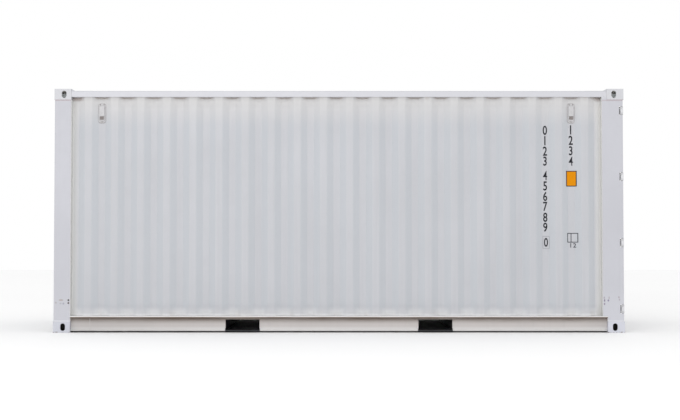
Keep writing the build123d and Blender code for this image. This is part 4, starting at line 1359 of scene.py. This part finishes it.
def pin_caps():
    """A round head at both ends of every hinge pin."""
    parts = Parts()
    radius = (PIN_HIGH.x - PIN_LOW.x) / 2
    for z in hinge_heights():
        for way in (-1, 1):
            centre = (PIN_LOW.x + radius, PIN_LOW.y + radius, z + way * PIN_REACH)
            parts.disc(centre, (0, 0, way), PIN_HEAD, 20)
    return parts


def end_frame_welds():
    """Weld beside the cam keepers and along the hinge lugs."""
    parts = Parts()
    foot = KEEPER_LOW.x + RAIL_SUNK
    for y in rod_places():
        for z in (KEEPER_LOW.z + KEEPER_HALF, KEEPER_TOP.z - KEEPER_HALF):
            for offset in KEEPER_EDGES:
                for side in (y - offset, y + offset):
                    parts.upright(foot, side, z - KEEPER_HALF, z + KEEPER_HALF, EDGE_BEAD)
    post_face = REAR_POST_HIGH.x - REAR_FACE_DROP
    reach = PIN_REACH - PIN_OUT
    for z in hinge_heights():
        for height in (z - reach, z + reach):
            parts.bead([(post_face, PIN_LOW.y + inward, height) for inward in LUG_BEAD], END_BEAD)
    return parts


leaf_bolts().on_doors("door_bolts", "lock_zinc")
blade_bolts().on_doors("blade_bolts", "hinge_paint", True)
panel_seams().on_doors("door_welds", "door_paint", True)
pin_caps().mirrored().piece("hinge_pin_heads", "bare_steel")
end_frame_welds().mirrored().piece("end_frame_welds", "frame_paint", smooth=True)


# Roof and floor

ROOF_RIDGES = 27
ROOF_SHEETS = 5
ROOF_END = 0.1365
ROOF_SHEET = 0.002
ROOF_SEAM_IN = 0.004
ROOF_EDGE_IN = 0.010
PLATE_SLOPE = 0.039
PLATE_UNDER = 0.0095
WEB_IN = 0.0005
WEB_THICK = 0.003
MEMBERS_PER_BAY = 6
SCREW_PITCH = 0.148
SCREW_MARGIN = 0.1
SCREW = ((0.0058, -0.0004), (0.0058, 0.0003), (0.0040, 0.0006), (0.0036, 0.0001))
SEAM_HALF = 0.002
SEAM_OUT = 0.0003
SEAM_SUNK = 0.001
SEAM_END = 0.010
SEAM_SHARES = ((0.41, 0.82), (0.2, 0.61))
RINGS = 5
RING_R = 0.024
RING_ROD = 0.005
RING_GAP = 0.001
RING_TURNS = 18
RING_SIDES = 8
SADDLE_HALF = 0.012
SADDLE_ROUND = 0.005
SADDLE_OUT = 0.004

# For the rings at the floor and under the roof: the face behind, the middle of the ring and of its
# saddle, half the saddle's height, and how far it is sunk into the face
RING_PLACES = (
    (WALL_HIGH.y, FLOOR_HIGH.z + RING_R + 0.006, FLOOR_HIGH.z + 0.007, 0.0072, 0.0005),
    (TOP_RAIL_HIGH.y, TOP_RAIL_LOW.z - RING_R + 0.022, TOP_RAIL_LOW.z + 0.026, 0.0085, 0.0015),
)


def roof_welds():
    """Seams between the pressed roof sheets, and weld along their outer edges."""
    parts = Parts()
    first = ROOF_LOW.x + ROOF_END
    pitch = (ROOF_HIGH.x - ROOF_END - first) / (ROOF_RIDGES - 1)
    z = ROOF_LOW.z + ROOF_SHEET
    for sheet in range(1, ROOF_SHEETS):
        x = first + pitch * (round(ROOF_RIDGES * sheet / ROOF_SHEETS) - 0.5)
        ends = (ROOF_LOW.y + ROOF_SEAM_IN, ROOF_HIGH.y - ROOF_SEAM_IN)
        parts.bead([(x, y, z) for y in ends], SHEET_BEAD, LONG_STEP)
    for y in (ROOF_LOW.y, ROOF_HIGH.y):
        ends = (ROOF_LOW.x + ROOF_EDGE_IN, ROOF_HIGH.x - ROOF_EDGE_IN)
        parts.bead([(x, y, z - BEAD_OUT) for x in ends], EDGE_BEAD, SMOOTH_STEP)
    return parts


def plate_webs():
    """Thin webs that close the wedge under each bent corner plate of the roof."""
    parts = Parts()
    outer = ROOF_LOW.y + WEB_IN
    foot = TOP_RAIL_HIGH.z
    head = TOP_FITTING_HIGH.z - PLATE_UNDER
    corners = ((WEB_IN, foot), (PLATE_SLOPE, foot + ROOF_SHEET), (WEB_IN, head))
    for way in (-1, 1):
        rings = []
        for y in (outer, outer + WEB_THICK):
            rings.append([(way * (-FITTING_HIGH.x - along), y, z) for along, z in corners])
        parts.loft(rings)
    return parts


def floor_screws():
    """A row of countersunk screws over every cross member."""
    parts = Parts()
    inner = POCKET_LOW.x + POCKET_REACH
    count = round((FLOOR_HIGH.y - FLOOR_LOW.y - SCREW_MARGIN) / SCREW_PITCH)
    for start, stop in ((FITTING_HIGH.x, POCKET_LOW.x), (inner, -inner), (POCKET_HIGH.x, FLOOR_HIGH.x)):
        for x in middles(start, stop, MEMBERS_PER_BAY):
            for number in range(count + 1):
                y = (number - count / 2) * SCREW_PITCH
                parts.disc((x, y, FLOOR_HIGH.z), (0, 0, 1), SCREW, 8)
    return parts


def floor_seams():
    """Dark filled gaps between the plywood sheets: one along the middle and two across each half."""
    parts = Parts()
    low, high = FLOOR_HIGH.z - SEAM_SUNK, FLOOR_HIGH.z + SEAM_OUT
    start, stop = FLOOR_LOW.x + SEAM_END, FLOOR_HIGH.x - SEAM_END
    parts.block((start, -SEAM_HALF, low), (stop, SEAM_HALF, high))
    halves = ((FLOOR_LOW.y, -SEAM_HALF), (SEAM_HALF, FLOOR_HIGH.y))
    for (near, far), shares in zip(halves, SEAM_SHARES):
        for share in shares:
            x = FLOOR_LOW.x + (FLOOR_HIGH.x - FLOOR_LOW.x) * share
            parts.block((x - SEAM_HALF, near + SEAM_HALF, low), (x + SEAM_HALF, far - SEAM_HALF, high))
    return parts


def ring(parts, centre):
    """A round steel ring in a plane along the wall."""
    sections = []
    for number in range(RING_TURNS):
        turn = 2 * math.pi * number / RING_TURNS
        way = Vector((math.cos(turn), 0.0, math.sin(turn)))
        sections.append(circle(centre + way * RING_R, way, Vector((0.0, 1.0, 0.0)), RING_ROD, RING_SIDES))
    parts.loft(sections + sections[:1], closed_ends=False)


def lashing_rings():
    """Rings with welded saddles, low and high along the inside of a wall."""
    parts = Parts()
    for x in middles(FLOOR_LOW.x, FLOOR_HIGH.x, RINGS):
        for face, ring_z, saddle_z, half, sunk in RING_PLACES:
            y = face + RING_ROD + RING_GAP
            ring(parts, Vector((x, y, ring_z)))
            ends = (y - RING_ROD - sunk, y + RING_ROD + SADDLE_OUT)
            parts.loft([round_box(x, saddle_z, SADDLE_HALF, half, SADDLE_ROUND, end) for end in ends])
    return parts


lashing_rings().mirrored().piece("lashing_rings", "bare_steel", smooth=True)
roof_welds().piece("roof_seams", "roof_paint", smooth=True)
plate_webs().mirrored().piece("plate_webs", "frame_paint")
floor_screws().piece("floor_screws", "bare_steel")
floor_seams().piece("floor_seams", "floor_wood", ["door_rubber"])


# Stage, light and camera

STAGE_HALF = 30.0
STAGE_DROP = 0.0005
LAMP_PLACE = Vector((-4.0, -16.0, 7.0))
LAMP_AIM = Vector((0.0, -1.2, 1.2))
CAMERA_X = 0.011
CAMERA_AWAY = 12.6
CAMERA_Z = 0.932
CAMERA_TILT = 91.672


def studio_floor():
    """A large pale studio floor."""
    mesh = bpy.data.meshes.new("studio_floor")
    corners = [(x * STAGE_HALF, y * STAGE_HALF, WHOLE_LOW.z - STAGE_DROP) for x in (-1, 1) for y in (-1, 1)]
    mesh.from_pydata(corners, [], [(0, 2, 3, 1)])
    mesh.materials.append(MATERIALS["studio_floor"])
    put("studio_floor", mesh)


def studio_light():
    """A white surrounding, and one large soft lamp at the front."""
    scene.world = bpy.data.worlds.new("studio")
    scene.world.use_nodes = True
    back = scene.world.node_tree.nodes["Background"]
    back.inputs["Color"].default_value = (1.0, 1.0, 1.0, 1.0)
    back.inputs["Strength"].default_value = 1.0
    lamp = bpy.data.lights.new("front_soft", "AREA")
    lamp.energy = 520.0
    lamp.size = 8.0
    obj = put("front_soft", lamp)
    obj.location = LAMP_PLACE
    obj.rotation_euler = (LAMP_AIM - LAMP_PLACE).to_track_quat("-Z", "Y").to_euler()


def camera():
    lens = bpy.data.cameras.new("camera")
    lens.lens = 62.85
    lens.sensor_width = 36.0
    lens.clip_end = 200.0
    obj = put("camera", lens)
    obj.location = (CAMERA_X, WHOLE_LOW.y - CAMERA_AWAY, CAMERA_Z)
    obj.rotation_euler = (math.radians(CAMERA_TILT), 0.0, 0.0)
    scene.camera = obj


studio_floor()
studio_light()
camera()
scene.view_settings.view_transform = "Standard"
